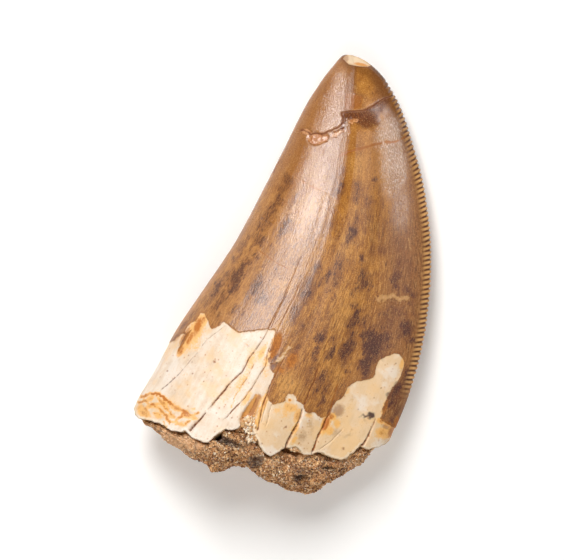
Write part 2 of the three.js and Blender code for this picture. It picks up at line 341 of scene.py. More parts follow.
def flat_of(s, y, upper):
    """Flat layout place of share s at height y."""
    f = grid_read(LAYOUT[upper][1], y, s)
    return np.stack([(f - 0.5) * face_length(y, upper), y], -1), f


def share_from_flat(u, v, upper):
    f = np.clip(u / np.maximum(face_length(v, upper), 1e-6) + 0.5, 0, 1)
    return grid_read(LAYOUT[upper][0], v, f), f


# ---------------------------------------------------------------------------
# what the picture shows on the upper face, in its pixels
# ---------------------------------------------------------------------------
# where the enamel ends and the bare dentine begins, left to right
ENAMEL_EDGE = [
    (160, 343), (168, 343), (173, 341), (178, 337), (183, 333), (185, 334), (181, 342),
    (178, 349), (177, 354), (181, 348), (187, 338), (193, 327), (198, 317),
    (201, 313), (204, 313), (208, 321), (211, 329), (214, 328.5), (220, 325),
    (223.6, 321.4), (227, 324), (231, 327.7), (238, 332.6), (246, 331.7),
    (255, 330.8), (266, 329.5), (274.5, 330), (275, 333), (273.5, 340),
    (270.5, 347), (268, 350), (269.5, 353), (271.5, 352), (270.5, 356), (267, 359), (268.5, 362), (271, 365), (270, 370),
    (274.5, 373.5), (271.5, 381), (269.5, 388), (267, 395), (269, 401), (273, 404.5), (278, 403.5), (282.6, 402.6),
    (285.5, 401), (285.5, 397), (288.4, 394), (292.2, 394), (296, 397),
    (297, 400.7), (300.8, 403), (303.2, 405.5), (305.6, 412.2), (309, 413.5),
    (312.3, 412.2), (315, 412.5), (318, 416), (322, 418), (325.7, 417),
    (330.5, 415), (332, 408), (336, 402), (340, 399), (343.6, 396),
    (347.4, 388.3), (352.2, 383.5), (358, 381), (364.6, 380.6), (370, 379),
    (373.3, 377.8), (375.2, 374), (376, 367), (379, 360.5), (385.7, 356.7),
    (390.5, 355.7), (394.3, 353.3), (399, 354.8), (403, 358.6), (404.4, 363.4),
    (403, 369), (401, 375.8), (396.2, 383.5), (391.4, 389.2), (388.6, 395),
    (386.7, 398.8), (383.8, 405.5), (381.9, 409.3), (383, 413), (380.5, 418),
    (382, 421), (385.7, 422.7), (391.4, 426.6), (400, 430),
]
ISLANDS = [
    [(184.5, 331), (187.5, 326), (191, 322.5), (195, 321), (197, 323), (194, 327), (190, 330), (186, 333)],
]
# broken rim of the dentine, left to right, with the open notch in its middle
RIM_PX = [
    (133.2, 409.5), (134, 413), (138, 417.5), (143, 419.5), (151, 420.5), (155, 422), (159, 423),
    (164.6, 426.5), (170, 430), (175.5, 431.3), (180.7, 431.4), (184.5, 430.4), (186.5, 432.5),
    (191.4, 437.3), (197.5, 440.8), (204, 442.3), (209.3, 441.3), (213.8, 436.8), (218, 433.6),
    (225.4, 429.4), (231, 430), (238, 429.3), (240, 427.4), (241.6, 423.6), (243.6, 420), (246.6, 418.2),
    (250, 419), (251.6, 422), (251.4, 426), (253, 430.5), (254.5, 435), (258.5, 442),
    (260.6, 447), (264.4, 451.6), (267.3, 454.5), (271, 456), (276, 453.5),
    (281.7, 449.8), (285, 449), (291.5, 447.5), (296, 447.2), (300, 450.8),
    (304.4, 455.5), (310, 455.5), (314, 453.6), (318, 452.5), (322.5, 453.5), (328.3, 456.4),
    (335, 459.2), (340.7, 460.2), (347.4, 458.2), (352.2, 454.5), (358.5, 448),
    (360.5, 444.6), (362.7, 446.9), (366, 449.2), (371.3, 449.8), (376, 448), (383.8, 446), (389.3, 441.5),
]

# cracks: pixels, half-widths at both ends (mm), depth (mm), darkness, ochre
CRACKS = [
    ([(293, 132), (303, 129.5), (311, 134.2), (316, 132.9), (322.5, 133.8), (328, 131.5),
      (334, 129.3), (338.6, 127), (343, 123), (343.6, 118.6), (341.8, 114), (342.2, 111.8),
      (348.4, 111.2), (354.6, 110.3), (362.7, 111.2), (368, 109), (372.5, 105.8),
      (378.8, 101.4), (384, 98.3), (390.4, 95.6), (396, 93.2)], 0.13, 0.09, 0.14, 0.9, 0.0),
    ([(338.2, 158), (343, 154.3), (349.3, 151.6), (358.2, 148.9), (367, 146.3), (376, 144.5),
      (384, 141.8), (390.4, 142.7), (395.7, 141.3), (402.9, 138.4), (409.5, 135)], 0.17, 0.07, 0.12, 0.15, 1.15),
    ([(294, 176), (302, 181), (310, 186), (318, 189.5), (325, 192), (331, 194.6)], 0.05, 0.07, 0.09, 0.12, 0.6),
    ([(325, 192.5), (330, 199.5), (334, 205.5), (339.6, 213.8), (343, 219)], 0.05, 0.03, 0.0, 0.2, 0.2),
    ([(256.5, 249.5), (266, 256), (275, 262), (283, 266.4), (290.5, 270.5)], 0.05, 0.04, 0.06, 0.15, 0.7),
    ([(226, 323.6), (216, 331.5), (206.6, 339.6), (200, 347.6), (196, 353), (189, 361.5), (182.5, 369),
      (176, 375.4), (170, 381.6), (163, 387), (157.5, 392)], 0.035, 0.05, 0.14, 0.62, 0.3),
    ([(303, 252), (297.3, 267), (290, 283), (279.5, 306), (268, 329), (264, 337), (254.9, 350),
      (249, 357.7), (242.4, 371), (230, 383.5), (217, 398.4), (206, 412)], 0.02, 0.075, 0.3, 0.9, 0.1),
    ([(206, 412), (198.5, 420), (190.3, 428.6), (188.5, 431)], 0.075, 0.17, 0.6, 1.0, 0.0),
    ([(304, 276), (294, 298), (286.6, 312.5), (279, 327), (273, 340), (268.3, 350), (265.4, 366.3),
      (259.7, 375.8), (251, 389.2), (239.6, 403.6), (230, 413.4), (222, 421)], 0.02, 0.05, 0.2, 0.72, 0.15),
    ([(287.4, 352), (281.7, 362.4), (275, 375), (271, 383.5), (266.4, 395), (263.5, 403.6),
      (260.6, 415), (257.8, 433)], 0.05, 0.06, 0.2, 0.8, 0.15),
    ([(279, 373), (273.5, 385), (268.6, 396), (265.4, 409), (261.5, 424)], 0.03, 0.04, 0.12, 0.6, 0.1),
    ([(274, 398), (271, 407.4), (268.3, 417), (266.4, 426.6)], 0.03, 0.03, 0.1, 0.55, 0.1),
    ([(335, 313), (331.4, 327), (328, 339.5), (324.3, 351), (320, 361.5), (316.6, 372), (314.2, 381.6),
      (309.4, 390.2), (306.6, 397.8), (303.2, 407.4)], 0.02, 0.09, 0.35, 0.95, 0.0),
    ([(303.2, 407.4), (300.8, 417), (297, 426.6), (292.2, 434.2), (287.4, 443.8), (284, 454.3)],
     0.09, 0.14, 0.5, 1.0, 0.0),
    ([(339, 381), (337.2, 386.4), (333.3, 399.8), (329.5, 413.2), (324.7, 424.6), (319, 436.1),
      (315.2, 445.7), (311.3, 455.3)], 0.03, 0.08, 0.3, 0.8, 0.35),
    ([(344, 429), (340, 432.3), (333, 438.8), (325.7, 445.7), (319, 451)], 0.03, 0.03, 0.08, 0.5, 0.2),
    ([(377, 418), (372.5, 428), (368.8, 436), (364, 444.5), (360.6, 446)], 0.03, 0.11, 0.35, 0.85, 0.1),
    ([(379.5, 258), (379, 273), (378.6, 287), (376, 303), (373.6, 312), (371.4, 321), (368.8, 331)],
     0.03, 0.025, 0.08, 0.75, 0.0),
    ([(255, 362), (249, 375), (239.6, 388.3), (232, 400)], 0.04, 0.03, 0.04, 0.05, 0.6),
    ([(292, 282), (284, 299), (276.5, 315), (271.5, 328)], 0.015, 0.02, 0.06, 0.5, 0.1),
    ([(352, 300), (349, 318), (345.5, 333), (341, 350)], 0.015, 0.02, 0.05, 0.5, 0.0),
    ([(272.5, 174), (277, 165.5), (283.5, 156)], 0.03, 0.02, 0.06, 0.85, 0.0),
    ([(366, 206), (367.5, 222), (366.5, 243)], 0.012, 0.02, 0.04, 0.55, 0.0),
    ([(372, 238), (370, 262), (366, 287)], 0.012, 0.018, 0.04, 0.45, 0.0),
    ([(356, 214), (355, 236), (351, 262)], 0.012, 0.018, 0.04, 0.4, 0.0),
    ([(320, 232), (313, 250), (305.5, 268)], 0.012, 0.018, 0.04, 0.45, 0.0),
    ([(376, 306), (383, 303), (391, 302), (397, 305.5), (404, 303.5), (413, 296)], 0.03, 0.04, 0.03, 0.6, 0.3),
    ([(257, 396), (255.4, 401), (252.8, 406), (249.5, 412.5)], 0.16, 0.1, 0.06, 0.62, 0.4),
    ([(331, 240), (322, 262), (312, 285), (303, 303)], 0.012, 0.018, 0.04, 0.4, 0.0),
]
# pale lines filled with sediment
PALE_LINES = [
    [(375, 300), (381, 298), (388, 297.2), (394, 295.5), (400, 299.5), (406, 297), (411, 298)],
    [(290, 344.5), (287, 350), (283.5, 356), (279, 360), (276, 363.5)],
    [(354.5, 84.5), (356.5, 89), (357, 94)],
    [(408, 236), (409.5, 244), (411, 251)],
]

# mottles: middle, half-axes (px), strength; long axis along the growth lines
MOTTLES = [
    (287, 182, 4, 7, 0.7), (283, 190, 4, 8, 0.75), (278, 199, 4, 8, 0.8), (272, 209, 4.5, 8, 0.85),
    (267, 219, 4, 7, 0.8), (262, 226, 3.5, 6, 0.7), (294.3, 199, 2.5, 5, 0.6), (290, 206, 2, 5, 0.5),
    (283, 227, 4, 9, 0.75), (279, 236, 3, 6, 0.6), (258.6, 239.3, 5, 5.5, 0.8), (248, 261.6, 3, 3.4, 0.5),
    (255, 257, 3, 3, 0.45), (236.5, 277, 4.6, 9, 1.0), (234, 287, 3.6, 6, 1.0), (240.3, 266, 3, 6, 0.85),
    (246, 262.5, 3, 4, 0.5), (259.3, 277.7, 3, 5, 0.6), (255, 287, 4, 7.5, 0.9), (248.6, 298, 2.6, 6, 0.75),
    (216.4, 289.3, 3.2, 10, 0.8), (215.5, 307, 3, 5, 0.6), (220.5, 300, 3, 9, 0.45), (262, 297.3, 5, 7, 0.7),
    (274.5, 271.4, 3, 6, 0.5), (268, 283, 2.5, 6, 0.4), (234.3, 309, 3.2, 6, 0.5), (242.3, 312.5, 3, 6, 0.45),
    (231.6, 323, 3, 2.6, 0.45), (218, 316, 3, 5, 0.35), (281.6, 300, 4, 5, 0.5), (292.3, 318.8, 4, 6, 0.65), (245.8, 240, 1.6, 8, 0.55), (238, 256, 2, 9, 0.45), (228, 276, 2.6, 8, 0.5), (270, 250, 3, 5, 0.3),
    (295, 310.7, 4, 7, 0.6), (305.7, 296.4, 5, 8, 0.7), (308, 285, 4, 7, 0.45), (301, 328, 4, 5, 0.3),
    (272.7, 314, 2.5, 4, 0.3), (300.4, 339, 2, 4, 0.25),
    (340.7, 170.5, 3, 5, 0.5), (339, 189, 5.5, 7, 0.65), (335, 178, 4, 5, 0.35), (344, 180, 3, 6, 0.35),
    (355.5, 187, 4, 6, 0.5), (357, 196, 3, 8, 0.55), (362, 191, 3, 5, 0.35), (374, 181.4, 2.2, 2.4, 0.75),
    (368.5, 200, 2.5, 7, 0.45), (352, 233, 3.4, 9, 0.75), (354.5, 220, 2.5, 6, 0.4), (363, 256, 2.6, 3, 0.8),
    (331, 226, 4, 7, 0.35), (317.5, 268, 3, 5, 0.75), (329.5, 275, 3, 7, 0.7), (322, 283, 2.4, 5, 0.45),
    (339, 262, 6, 9, 0.45), (338, 276, 5, 9, 0.5), (327, 291, 3, 5, 0.35), (334, 296, 2, 2.4, 0.4),
    (362.5, 280.5, 6, 9, 0.62), (354, 289.5, 3, 6, 0.55), (369, 291, 3, 5, 0.4),
    (395.5, 277, 4, 6, 0.75), (397, 287, 2.2, 3, 0.7), (393, 268, 2.5, 4, 0.4), (407, 289.5, 4, 3, 0.5),
    (413, 295, 3, 3.4, 0.6), (356.3, 315.4, 3.8, 7, 0.85), (349.5, 324, 3, 6, 0.7), (352, 306, 3, 5, 0.45),
    (347, 350, 4.6, 12, 0.82), (350, 336, 3.4, 6, 0.72), (343.5, 362, 2.5, 5, 0.5),
    (318.8, 337, 4, 5.4, 0.75), (331, 351, 2.5, 10, 0.75), (315.5, 353, 3, 6.5, 0.7), (323, 331, 2.4, 4, 0.4),
    (333, 338, 2, 5, 0.4), (326, 317, 2.2, 6, 0.3),
    (373, 345, 9.5, 9, 1.15), (369, 336, 6, 6, 0.95), (378, 352, 5.5, 8, 1.1), (367, 362, 4.6, 9, 1.1),
    (366, 373, 3, 6, 0.95), (362.5, 337, 3, 3, 0.9), (362.5, 353, 2, 2, 0.85), (377, 338, 5, 5, 0.9),
    (385, 340, 3.5, 6, 0.8), (363, 367, 2.5, 4, 0.7), (371.5, 327, 3.4, 5, 0.55), (364, 322, 4, 6, 0.5),
    (406.3, 329, 4.4, 6.4, 0.85), (411.6, 341, 3.4, 2.4, 0.9), (399, 336, 3, 4, 0.45), (388, 347, 3, 4, 0.5),
    (384, 316, 6, 5, 0.4), (391, 323, 5, 6, 0.42), (381, 327, 5, 5, 0.38), (396, 312, 4, 5, 0.35),
    (388, 308, 4, 4, 0.3), (403, 317, 3.4, 5, 0.35),
    (347.5, 371.6, 2.2, 2.2, 0.5), (322.3, 379, 3.6, 9, 0.7), (326, 388.6, 2.2, 8, 0.6),
    (317, 392, 2.4, 5, 0.5), (323, 398, 2, 6, 0.5), (319, 402, 1.6, 4, 0.35), (329, 380, 1.6, 8, 0.4),
    (405.4, 378, 3.2, 6, 0.9), (402, 371, 2.5, 4, 0.4), (392.5, 394, 4, 8, 0.9), (396.5, 387, 3.4, 5, 0.85),
    (389.5, 403, 2.6, 6, 0.85), (394, 405, 2, 5, 0.6), (371.3, 415.6, 3.7, 3.4, 1.1), (366.5, 415, 4, 1.4, 0.75),
    (361, 416, 2, 1.6, 0.6), (374, 417.5, 2.5, 2, 0.7),
    (269, 352, 3, 5, 0.0), (283.5, 392, 2, 2, 0.35), (278, 397, 1.6, 2, 0.3),
    (404, 246, 4, 5, 0.2), (399, 262, 3, 6, 0.25), (410, 303, 2.4, 4, 0.35), (352, 262, 3, 8, 0.22),
    (382, 372, 3, 5, 0.25), (414, 312, 2.5, 6, 0.3), (300, 262, 2, 5, 0.25), (228, 298, 2, 7, 0.35),
    (225.5, 280, 3, 8, 0.45), (208, 302, 2.4, 6, 0.45), (203.5, 298, 2, 5, 0.4), (250, 249, 2.4, 4, 0.4),
    (245, 275, 2.4, 6, 0.35), (263, 262, 2, 5, 0.3), (270, 247, 2.2, 5, 0.3), (291, 228, 2, 6, 0.25),
]


def dots(points):
    return np.array(points, float)


# soft areas on the upper face: middle, half-axes, turn in degrees, strength
ORANGE = [  # rust on dentine and thin enamel
    (192, 335, 9, 20, 32, 0.62), (197, 327, 5, 14, 22, 1.0), (190, 338, 4, 14, 30, 1.0), (181, 350, 3.4, 8, 30, 0.9),
    (203, 320, 4, 8, 15, 0.75), (196, 345, 6, 10, 35, 0.35),
    (277, 343, 5, 12, 16, 1.0), (273, 353, 4, 8, 25, 0.9), (292, 360, 7, 12, 26, 0.75), (281, 370, 7, 5, 30, 0.6),
    (266, 362, 4, 8, 25, 0.45), (265, 373, 5, 7, 10, 0.3), (251, 361, 5, 12, 18, 0.42), (243, 378, 5, 13, 35, 0.35), (262, 352, 3.5, 11, 25, 0.5),
    (237, 388, 4, 12, 35, 0.3), (226, 398, 4, 9, 40, 0.22), (247, 398, 3.5, 10, 30, 0.45),
    (264.5, 402, 3, 12, 16, 0.75), (260, 414, 2.4, 9, 10, 0.8), (256, 424, 3, 6, 0, 0.65),
    (292, 408, 9, 4.5, -10, 0.55), (298, 416, 4, 9, 15, 0.75), (296, 428, 3, 8, 20, 0.6),
    (287, 412, 6, 8, 10, 0.35), (278, 410, 6, 4, 0, 0.25),
    (361, 64.2, 8, 1.8, 10, 1.0), (290, 400, 1.6, 1.6, 0, 1.2), (326, 424, 4.2, 10, 20, 1.3), (332, 417, 4.6, 4, 0, 0.95), (337, 423, 4, 5, 0, 0.6),
    (330, 431, 4, 5, 20, 0.6), (309, 415, 4, 3, 0, 0.4), (295, 440, 2.6, 6, 30, 0.5),
    (347, 392, 3, 5, 35, 0.35), (402, 366, 2.6, 9, 10, 0.5), (385, 408, 2.4, 10, 15, 0.6),
    (381, 421, 5, 3, 20, 0.75), (388, 424, 5, 3, 20, 0.7), (384, 433, 8, 6, 0, 0.68), (391, 433, 5, 9, 15, 0.9), (396, 423, 3, 8, 15, 1.0), (288, 406, 4, 4, 0, 0.6),
    (143, 413, 9, 4, 25, 0.75), (152, 405, 9, 2.6, -15, 0.7), (163, 403, 5, 3, 30, 0.85),
    (150, 398, 5, 3, -30, 0.7), (176, 408, 7, 2.6, 20, 0.85), (186, 415, 6, 2.6, 25, 0.85),
    (194, 418, 4, 2.4, 10, 0.75), (170, 416, 6, 3, 10, 0.5), (158, 416, 6, 3, 20, 0.55),
    (181, 424, 6, 3, 10, 0.45), (139, 407, 5, 3, -40, 0.6), (166, 408, 3, 2, 30, 0.8),
    (193, 409, 3, 1.8, 0, 0.5), (146, 419, 6, 2.4, 15, 0.4),
]
RUST_LINES = [  # thin rusty strokes: pixels, half-width, strength
    ([(140.8, 396.7), (150, 394.2), (158.3, 393.3), (165, 399.2), (173.3, 405.8), (181.7, 410), (191.7, 415),
      (198.3, 412.5)], 1.3, 1.15),
    ([(137.5, 401.7), (145, 400.8), (151.7, 404.2), (158.3, 408.3), (164.2, 415), (169.2, 421.7)], 1.2, 1.1),
    ([(155.8, 395), (158.3, 400), (163.3, 405.8), (169.2, 411.7), (173.3, 416.7)], 1.1, 1.1),
    ([(169, 421.7), (175, 420.8), (181.7, 416.7), (182.5, 412.5)], 1.1, 1.0),
    ([(143.3, 408.3), (147.5, 413.3), (145, 416.7)], 1.1, 1.0), ([(153.3, 413.3), (158.3, 413.3)], 1.2, 1.0),
    ([(175, 423.3), (183.3, 425.8), (190, 420)], 1.0, 0.9), ([(161.7, 420.8), (166.7, 426.7)], 1.0, 0.9),
    ([(258, 351), (255, 360), (249, 371), (244, 381), (238, 392), (233, 400), (231, 408)], 0.6, 0.5),
]
BROWN = [  # rust-brown, darker and redder than the enamel round it
    (184, 336, 2.4, 12, 30, 1.1), (176, 338, 3, 9, 38, 0.6), (184, 325, 3, 9, 40, 0.55), (193, 314, 3, 10, 38, 0.45),
    (277, 345, 5, 12, 15, 0.7), (281, 343, 2.6, 7, 15, 0.35), (269, 368, 6, 8, 20, 0.25), (276, 357, 2.4, 4, 20, 0.9),
    (271.5, 366.5, 3.2, 3.4, 0, 0.9), (266, 357, 3, 4, 20, 0.5), (267, 373, 6, 8, 10, 0.32), (284, 353, 3, 10, 28, 0.2), (294, 355, 1.8, 11, 26, 1.15),
    (298, 347, 2.2, 4, 26, 0.8), (289, 365, 2.4, 6, 30, 0.7), (280, 366, 5, 4, 20, 0.35),
    (337, 391, 2.0, 8, 15, 0.35), (333, 403, 2.4, 6, 15, 0.55), (372, 250, 4, 15, 3, 0.4), (330, 411, 3, 4, 20, 0.7),
    (306, 372, 6, 12, 15, 0.28), (304, 387, 6, 9, 15, 0.22),
    (352, 115, 10, 4, 3, 1.3), (361, 118, 7, 7, 0, 1.2), (370, 115, 10, 7.5, -25, 1.3),
    (379, 107, 8, 6, -38, 1.1), (386, 101, 5, 4, -30, 0.8), (366, 124, 8, 6, 10, 0.7),
    (344, 121, 2.6, 6, 20, 1.1), (343, 128, 3.4, 2.4, 0, 0.9), (374, 121, 8, 6, 0, 0.7),
    (352, 101, 8, 6.5, 0, 0.32), (346, 97, 3, 3, 0, 0.35), (346, 58.5, 3.5, 4, 30, 0.8), (359, 80, 3.6, 3, 0, 0.35), (367, 84, 3, 3, 0, 0.2),
    (376, 88, 2.4, 2.4, 0, 0.2), (318, 90, 6, 9, 25, 0.22), (326, 84, 4, 10, 20, 0.15),
    (396, 246, 13, 14, 0, 0.3), (401, 262, 11, 12, 0, 0.36), (410, 268, 6, 12, 0, 0.3), (382, 250, 8, 8, 0, 0.5),
    (404, 300, 8, 8, 0, 0.2), (399, 395, 5, 14, 12, 0.5), (396, 412, 4, 10, 12, 0.55),
    (407, 380, 5, 14, 12, 0.4), (392, 420, 3, 5, 0, 0.65), (394, 431, 5, 9, 10, 1.0), (386, 427, 6, 3, 20, 0.8), (389, 440, 6, 3, -20, 0.6), (303, 146, 6, 3, -20, 0.2),
    (313, 144, 4, 3, 0, 0.3), (215, 271, 4, 16, 38, 0.25), (243, 230, 3.4, 20, 33, 0.3),
]
YELLOW = [  # yellower, lighter enamel in the middle band
    (356, 165, 14, 14, 0, 0.55), (352, 212, 12, 20, 8, 0.2), (345, 245, 10, 18, 10, 0.45),
    (340, 318, 14, 26, 12, 0.55), (330, 352, 14, 22, 14, 0.4), (346, 300, 14, 14, 5, 0.45),
    (372, 232, 6, 26, 5, 0.4), (290, 386, 16, 14, 10, 0.75), (360, 385, 10, 8, 0, 0.35),
    (252, 270, 10, 18, 35, 0.25), (334, 376, 12, 20, 12, 0.4), (230, 300, 8, 14, 35, 0.3),
    (386, 362, 7, 14, 0, 0.3), (388, 275, 8, 12, 0, 0.4), (300, 145, 12, 4, -10, 0.3), (372, 310, 6, 14, 5, 0.3),
]
GREY = [  # cool, slightly translucent veils
    (337.5, 411, 6.2, 8.5, 25, 1.15), (284, 333, 6, 5, 0, 0.8), (334, 434, 9, 5.5, -30, 0.6), (303, 436, 6, 8, 20, 0.65),
    (312, 431, 4, 8, 0, 0.35), (226, 357, 5, 6, 0, 0.28), (212, 345, 8, 6, 20, 0.22), (246, 344, 8, 4, 0, 0.22),
    (231, 404, 6, 5, 30, 0.25), (348, 436, 10, 3.4, -25, 0.45), (336, 441, 6, 3, -30, 0.35),
    (365, 421, 5, 3, 0, 0.35), (352, 398, 5, 4, 0, 0.3), (310, 425, 5, 9, 10, 0.4), (240, 426, 8, 3, 0, 0.25),
    (218, 420, 7, 3, 15, 0.2), (352, 447, 8, 3, -10, 0.2), (385, 380, 6, 6, 0, 0.25),
]
SPECKS = dots([  # single dark dots on the dentine
    (214.2, 361.5, 1.3), (166.9, 370.9, 0.8), (191.9, 362.4, 0.7), (192.3, 373.6, 0.7),
    (248, 346, 0.6), (204, 381, 0.6), (222, 371, 0.5), (274, 424, 0.7),
    (286, 427, 1.2), (343.5, 448.5, 1.3), (352, 430, 0.7), (262, 444, 0.6), (358, 409, 0.6),
    (232, 418, 0.8), (178, 391, 0.6), (181, 396, 0.5), (330, 434, 0.5), (396, 363, 0.7),
    (374, 398, 0.5), (381, 388, 0.5), (305, 421, 0.5), (314, 437, 0.5), (211, 399, 0.5),
])


def areas(px, rows, along=False):
    """Soft blobs: 1 in the middle, 0 outside."""
    out = np.zeros(len(px))
    for r in rows:
        if along:
            cx, cy, a, b, w = r
            x, y, s = place(np.array([cx]), np.array([cy]))
            dx = ((1 - s) * (left_edge(y + 0.5) - left_edge(y - 0.5)) + s * (right_edge(y + 0.5) - right_edge(y - 0.5)))
            lean = math.atan2(float(dx[0]), 1.0) + TURN
            ca, sa = math.cos(lean), math.sin(lean)
        else:
            cx, cy, a, b, deg, w = r
            ca, sa = math.cos(math.radians(deg)), math.sin(math.radians(deg))
        if not w:
            continue
        d = px - (cx - 0.5, cy - 0.5)
        reach = 1.6 * max(a, b)
        near = (np.abs(d[:, 0]) < reach) & (np.abs(d[:, 1]) < reach)
        # the long axis runs up and to the right, as the growth lines do
        p = (d[near, 0] * ca + d[near, 1] * sa) / a
        q = (d[near, 0] * sa - d[near, 1] * ca) / b
        v = w * np.clip(1.35 - np.sqrt(p * p + q * q), 0, 1.0)
        out[near] = np.maximum(out[near], v)
    return out


# ---------------------------------------------------------------------------
# laying out the points of the crown's mesh
# ---------------------------------------------------------------------------
STEP, STEP_LOWER = 0.17, 0.32
EDGE_STEP = 0.084


def edge_heights(s, y0, step):
    """Heights along an edge line, from y0 to the tip, a step of arc apart."""
    y = np.concatenate([np.linspace(y0, 43, 4000), np.linspace(43.001, TIP_Y, 3000)])
    p = crown(np.full_like(y, s), y, True)
    run = np.concatenate([[0], np.cumsum(np.linalg.norm(np.diff(p, axis=0), axis=1))])
    n = int(round(run[-1] / step))
    return np.interp(np.linspace(0, run[-1], n + 1), run, y)


def clear_of(points, fixed, radius, cell=0.03):
    """Which points keep a distance from the fixed ones."""
    lo = np.minimum(points.min(0), fixed.min(0)) - 2 * radius - cell
    size = ((np.maximum(points.max(0), fixed.max(0)) - lo + 2 * radius + cell) / cell).astype(int) + 2
    grid = np.zeros(size, bool)
    n = int(math.ceil(radius / cell))
    base = ((fixed - lo) / cell).astype(int)
    for i in range(-n, n + 1):
        for j in range(-n, n + 1):
            if math.hypot(i, j) * cell <= radius:
                grid[base[:, 0] + i, base[:, 1] + j] = True
    at = ((points - lo) / cell).astype(int)
    return ~grid[at[:, 0], at[:, 1]]


def hexagons(lo, hi, step, seed, jitter=0.2):
    rows = np.arange(lo[1], hi[1], step * 0.866)
    cols = np.arange(lo[0], hi[0], step)
    u = cols[None, :] + (np.arange(len(rows)) % 2)[:, None] * step / 2
    v = np.repeat(rows[:, None], len(cols), 1)
    p = np.stack([u.ravel(), v.ravel()], 1)
    return p + np.random.default_rng(seed).uniform(-jitter, jitter, p.shape) * step


def sparse(points, cell):
    """One point from each cell, the first that comes."""
    key = np.floor(points / cell).astype(np.int64)
    _, keep = np.unique(key[:, 0] * 1000003 + key[:, 1], return_index=True)
    return points[np.sort(keep)]


def beside(line, offsets):
    d = np.gradient(line, axis=0)
    d /= np.maximum(np.linalg.norm(d, axis=1, keepdims=True), 1e-9)
    n = np.stack([-d[:, 1], d[:, 0]], 1)
    return np.concatenate([line + n * np.reshape(o, (-1, 1)) for o in offsets])


def flat_from_px(line):
    x, y, s = place(line[:, 0] + 0.5, line[:, 1] + 0.5)
    return flat_of(s, y, True)[0]


# cracks, wobbled a little so that they wander as real ones do
cracks = []
for k, (pts, w0, w1, depth, dark, ochre) in enumerate(CRACKS):
    line = resample(np.array(pts, float) - 0.5, 0.8)
    wob = np.stack([noise(line / 2.9, 50 + k), noise(line / 2.9 + 40, 90 + k)], 1)
    sway = np.stack([noise(line / 11.0, 250 + k), noise(line / 11.0 + 40, 290 + k)], 1)
    cracks.append((line + (0.5 if k < 2 else 0.2) * wob + (0.2 if k < 2 else 0.5) * sway, w0, w1, depth, dark, ochre))
edge_line = resample(np.array(ENAMEL_EDGE, float) - 0.5, 0.8)
edge_line = edge_line + 0.45 * np.stack([noise(edge_line / 2.2, 31), noise(edge_line / 2.2 + 9, 32)], 1)
islands = [resample(np.array(i + [i[0]], float) - 0.5, 0.8) for i in ISLANDS]
TIP_PATCH = [(342.5, 58.4), (345, 55.6), (349.3, 54.2), (356.4, 55.6), (363.6, 59.4), (370.4, 63.0), (371.5, 65.4),
             (368, 66.6), (360, 66.4), (353, 65.4), (348.4, 64.2), (345.7, 61.6)]
tip_patch = resample(np.array(TIP_PATCH + TIP_PATCH[:1], float) - 0.5, 0.8)
pale_lines = []
for k, pts in enumerate(PALE_LINES):
    line = resample(np.array(pts, float) - 0.5, 0.7)
    pale_lines.append(line + 0.7 * np.stack([noise(line / 1.7, 131 + k), noise(line / 1.7 + 9, 152 + k)], 1))

# the broken rim on the face that shows, and on the one it lies on
rim_px = resample(np.array(RIM_PX, float), 1.3)
rim_px = (rim_px + 0.42 * np.stack([noise(rim_px / 1.7, 5), noise(rim_px / 1.7 + 7, 6)], 1)
          + 0.65 * np.stack([noise(rim_px / 4.5, 7), noise(rim_px / 4.5 + 7, 8)], 1))
_, ry, rs = place(rim_px[:, 0], rim_px[:, 1])
ry = np.maximum(ry, -3.75)
keep = (rs > 0.006) & (rs < 0.992)
rim_s, rim_y = rs[keep], ry[keep]
Y_LEFT, Y_RIGHT = -1.6, 1.75
rim_s = np.concatenate([[0.0], rim_s, [1.0]])
rim_y = np.concatenate([[Y_LEFT], rim_y, [Y_RIGHT]])


def lower_rim(s):
    y = np.full_like(s, -2.0)
    for _ in range(6):
        y = rim_lower_of(left_edge(y) + (right_edge(y) - left_edge(y)) * s)
    ends = smooth(0, 0.05, s) * smooth(1, 0.95, s)
    q = np.stack([s * 29, np.zeros_like(s)], 1)
    y = y + ends * (0.34 * fbm(q * 0.9, 61) + 0.16 * noise(q * 3.1, 62))
    y = y * ends + (Y_LEFT * (s < 0.5) + Y_RIGHT * (s >= 0.5)) * (1 - ends)
    return np.maximum(y, -3.75)


low_s = np.linspace(1, 0, 111)[1:-1]
low_s = 0.5 - 0.5 * np.cos(np.pi * low_s) * (0.75 + 0.25 * np.abs(np.cos(np.pi * low_s)))
low_y = lower_rim(low_s)

yl = edge_heights(0.0, Y_LEFT, STEP)[1:-1]
yr = edge_heights(1.0, Y_RIGHT, EDGE_STEP)[1:-1]
yr_low = yr

# vertex table: share, height, face (1 upper, 0 lower)
vert_s, vert_y, vert_up = [], [], []


def add_verts(s, y, up):
    start = sum(len(v) for v in vert_s)
    vert_s.append(np.asarray(s, float))
    vert_y.append(np.asarray(y, float))
    vert_up.append(np.full(len(s), up, float))
    return np.arange(start, start + len(s))


i_left = add_verts(np.zeros(len(yl)), yl, 1)
i_tip = add_verts([0.5], [TIP_Y], 1)
i_right = add_verts(np.ones(len(yr)), yr, 1)
i_rim = add_verts(rim_s, rim_y, 1)
i_low = add_verts(low_s, low_y, 0)


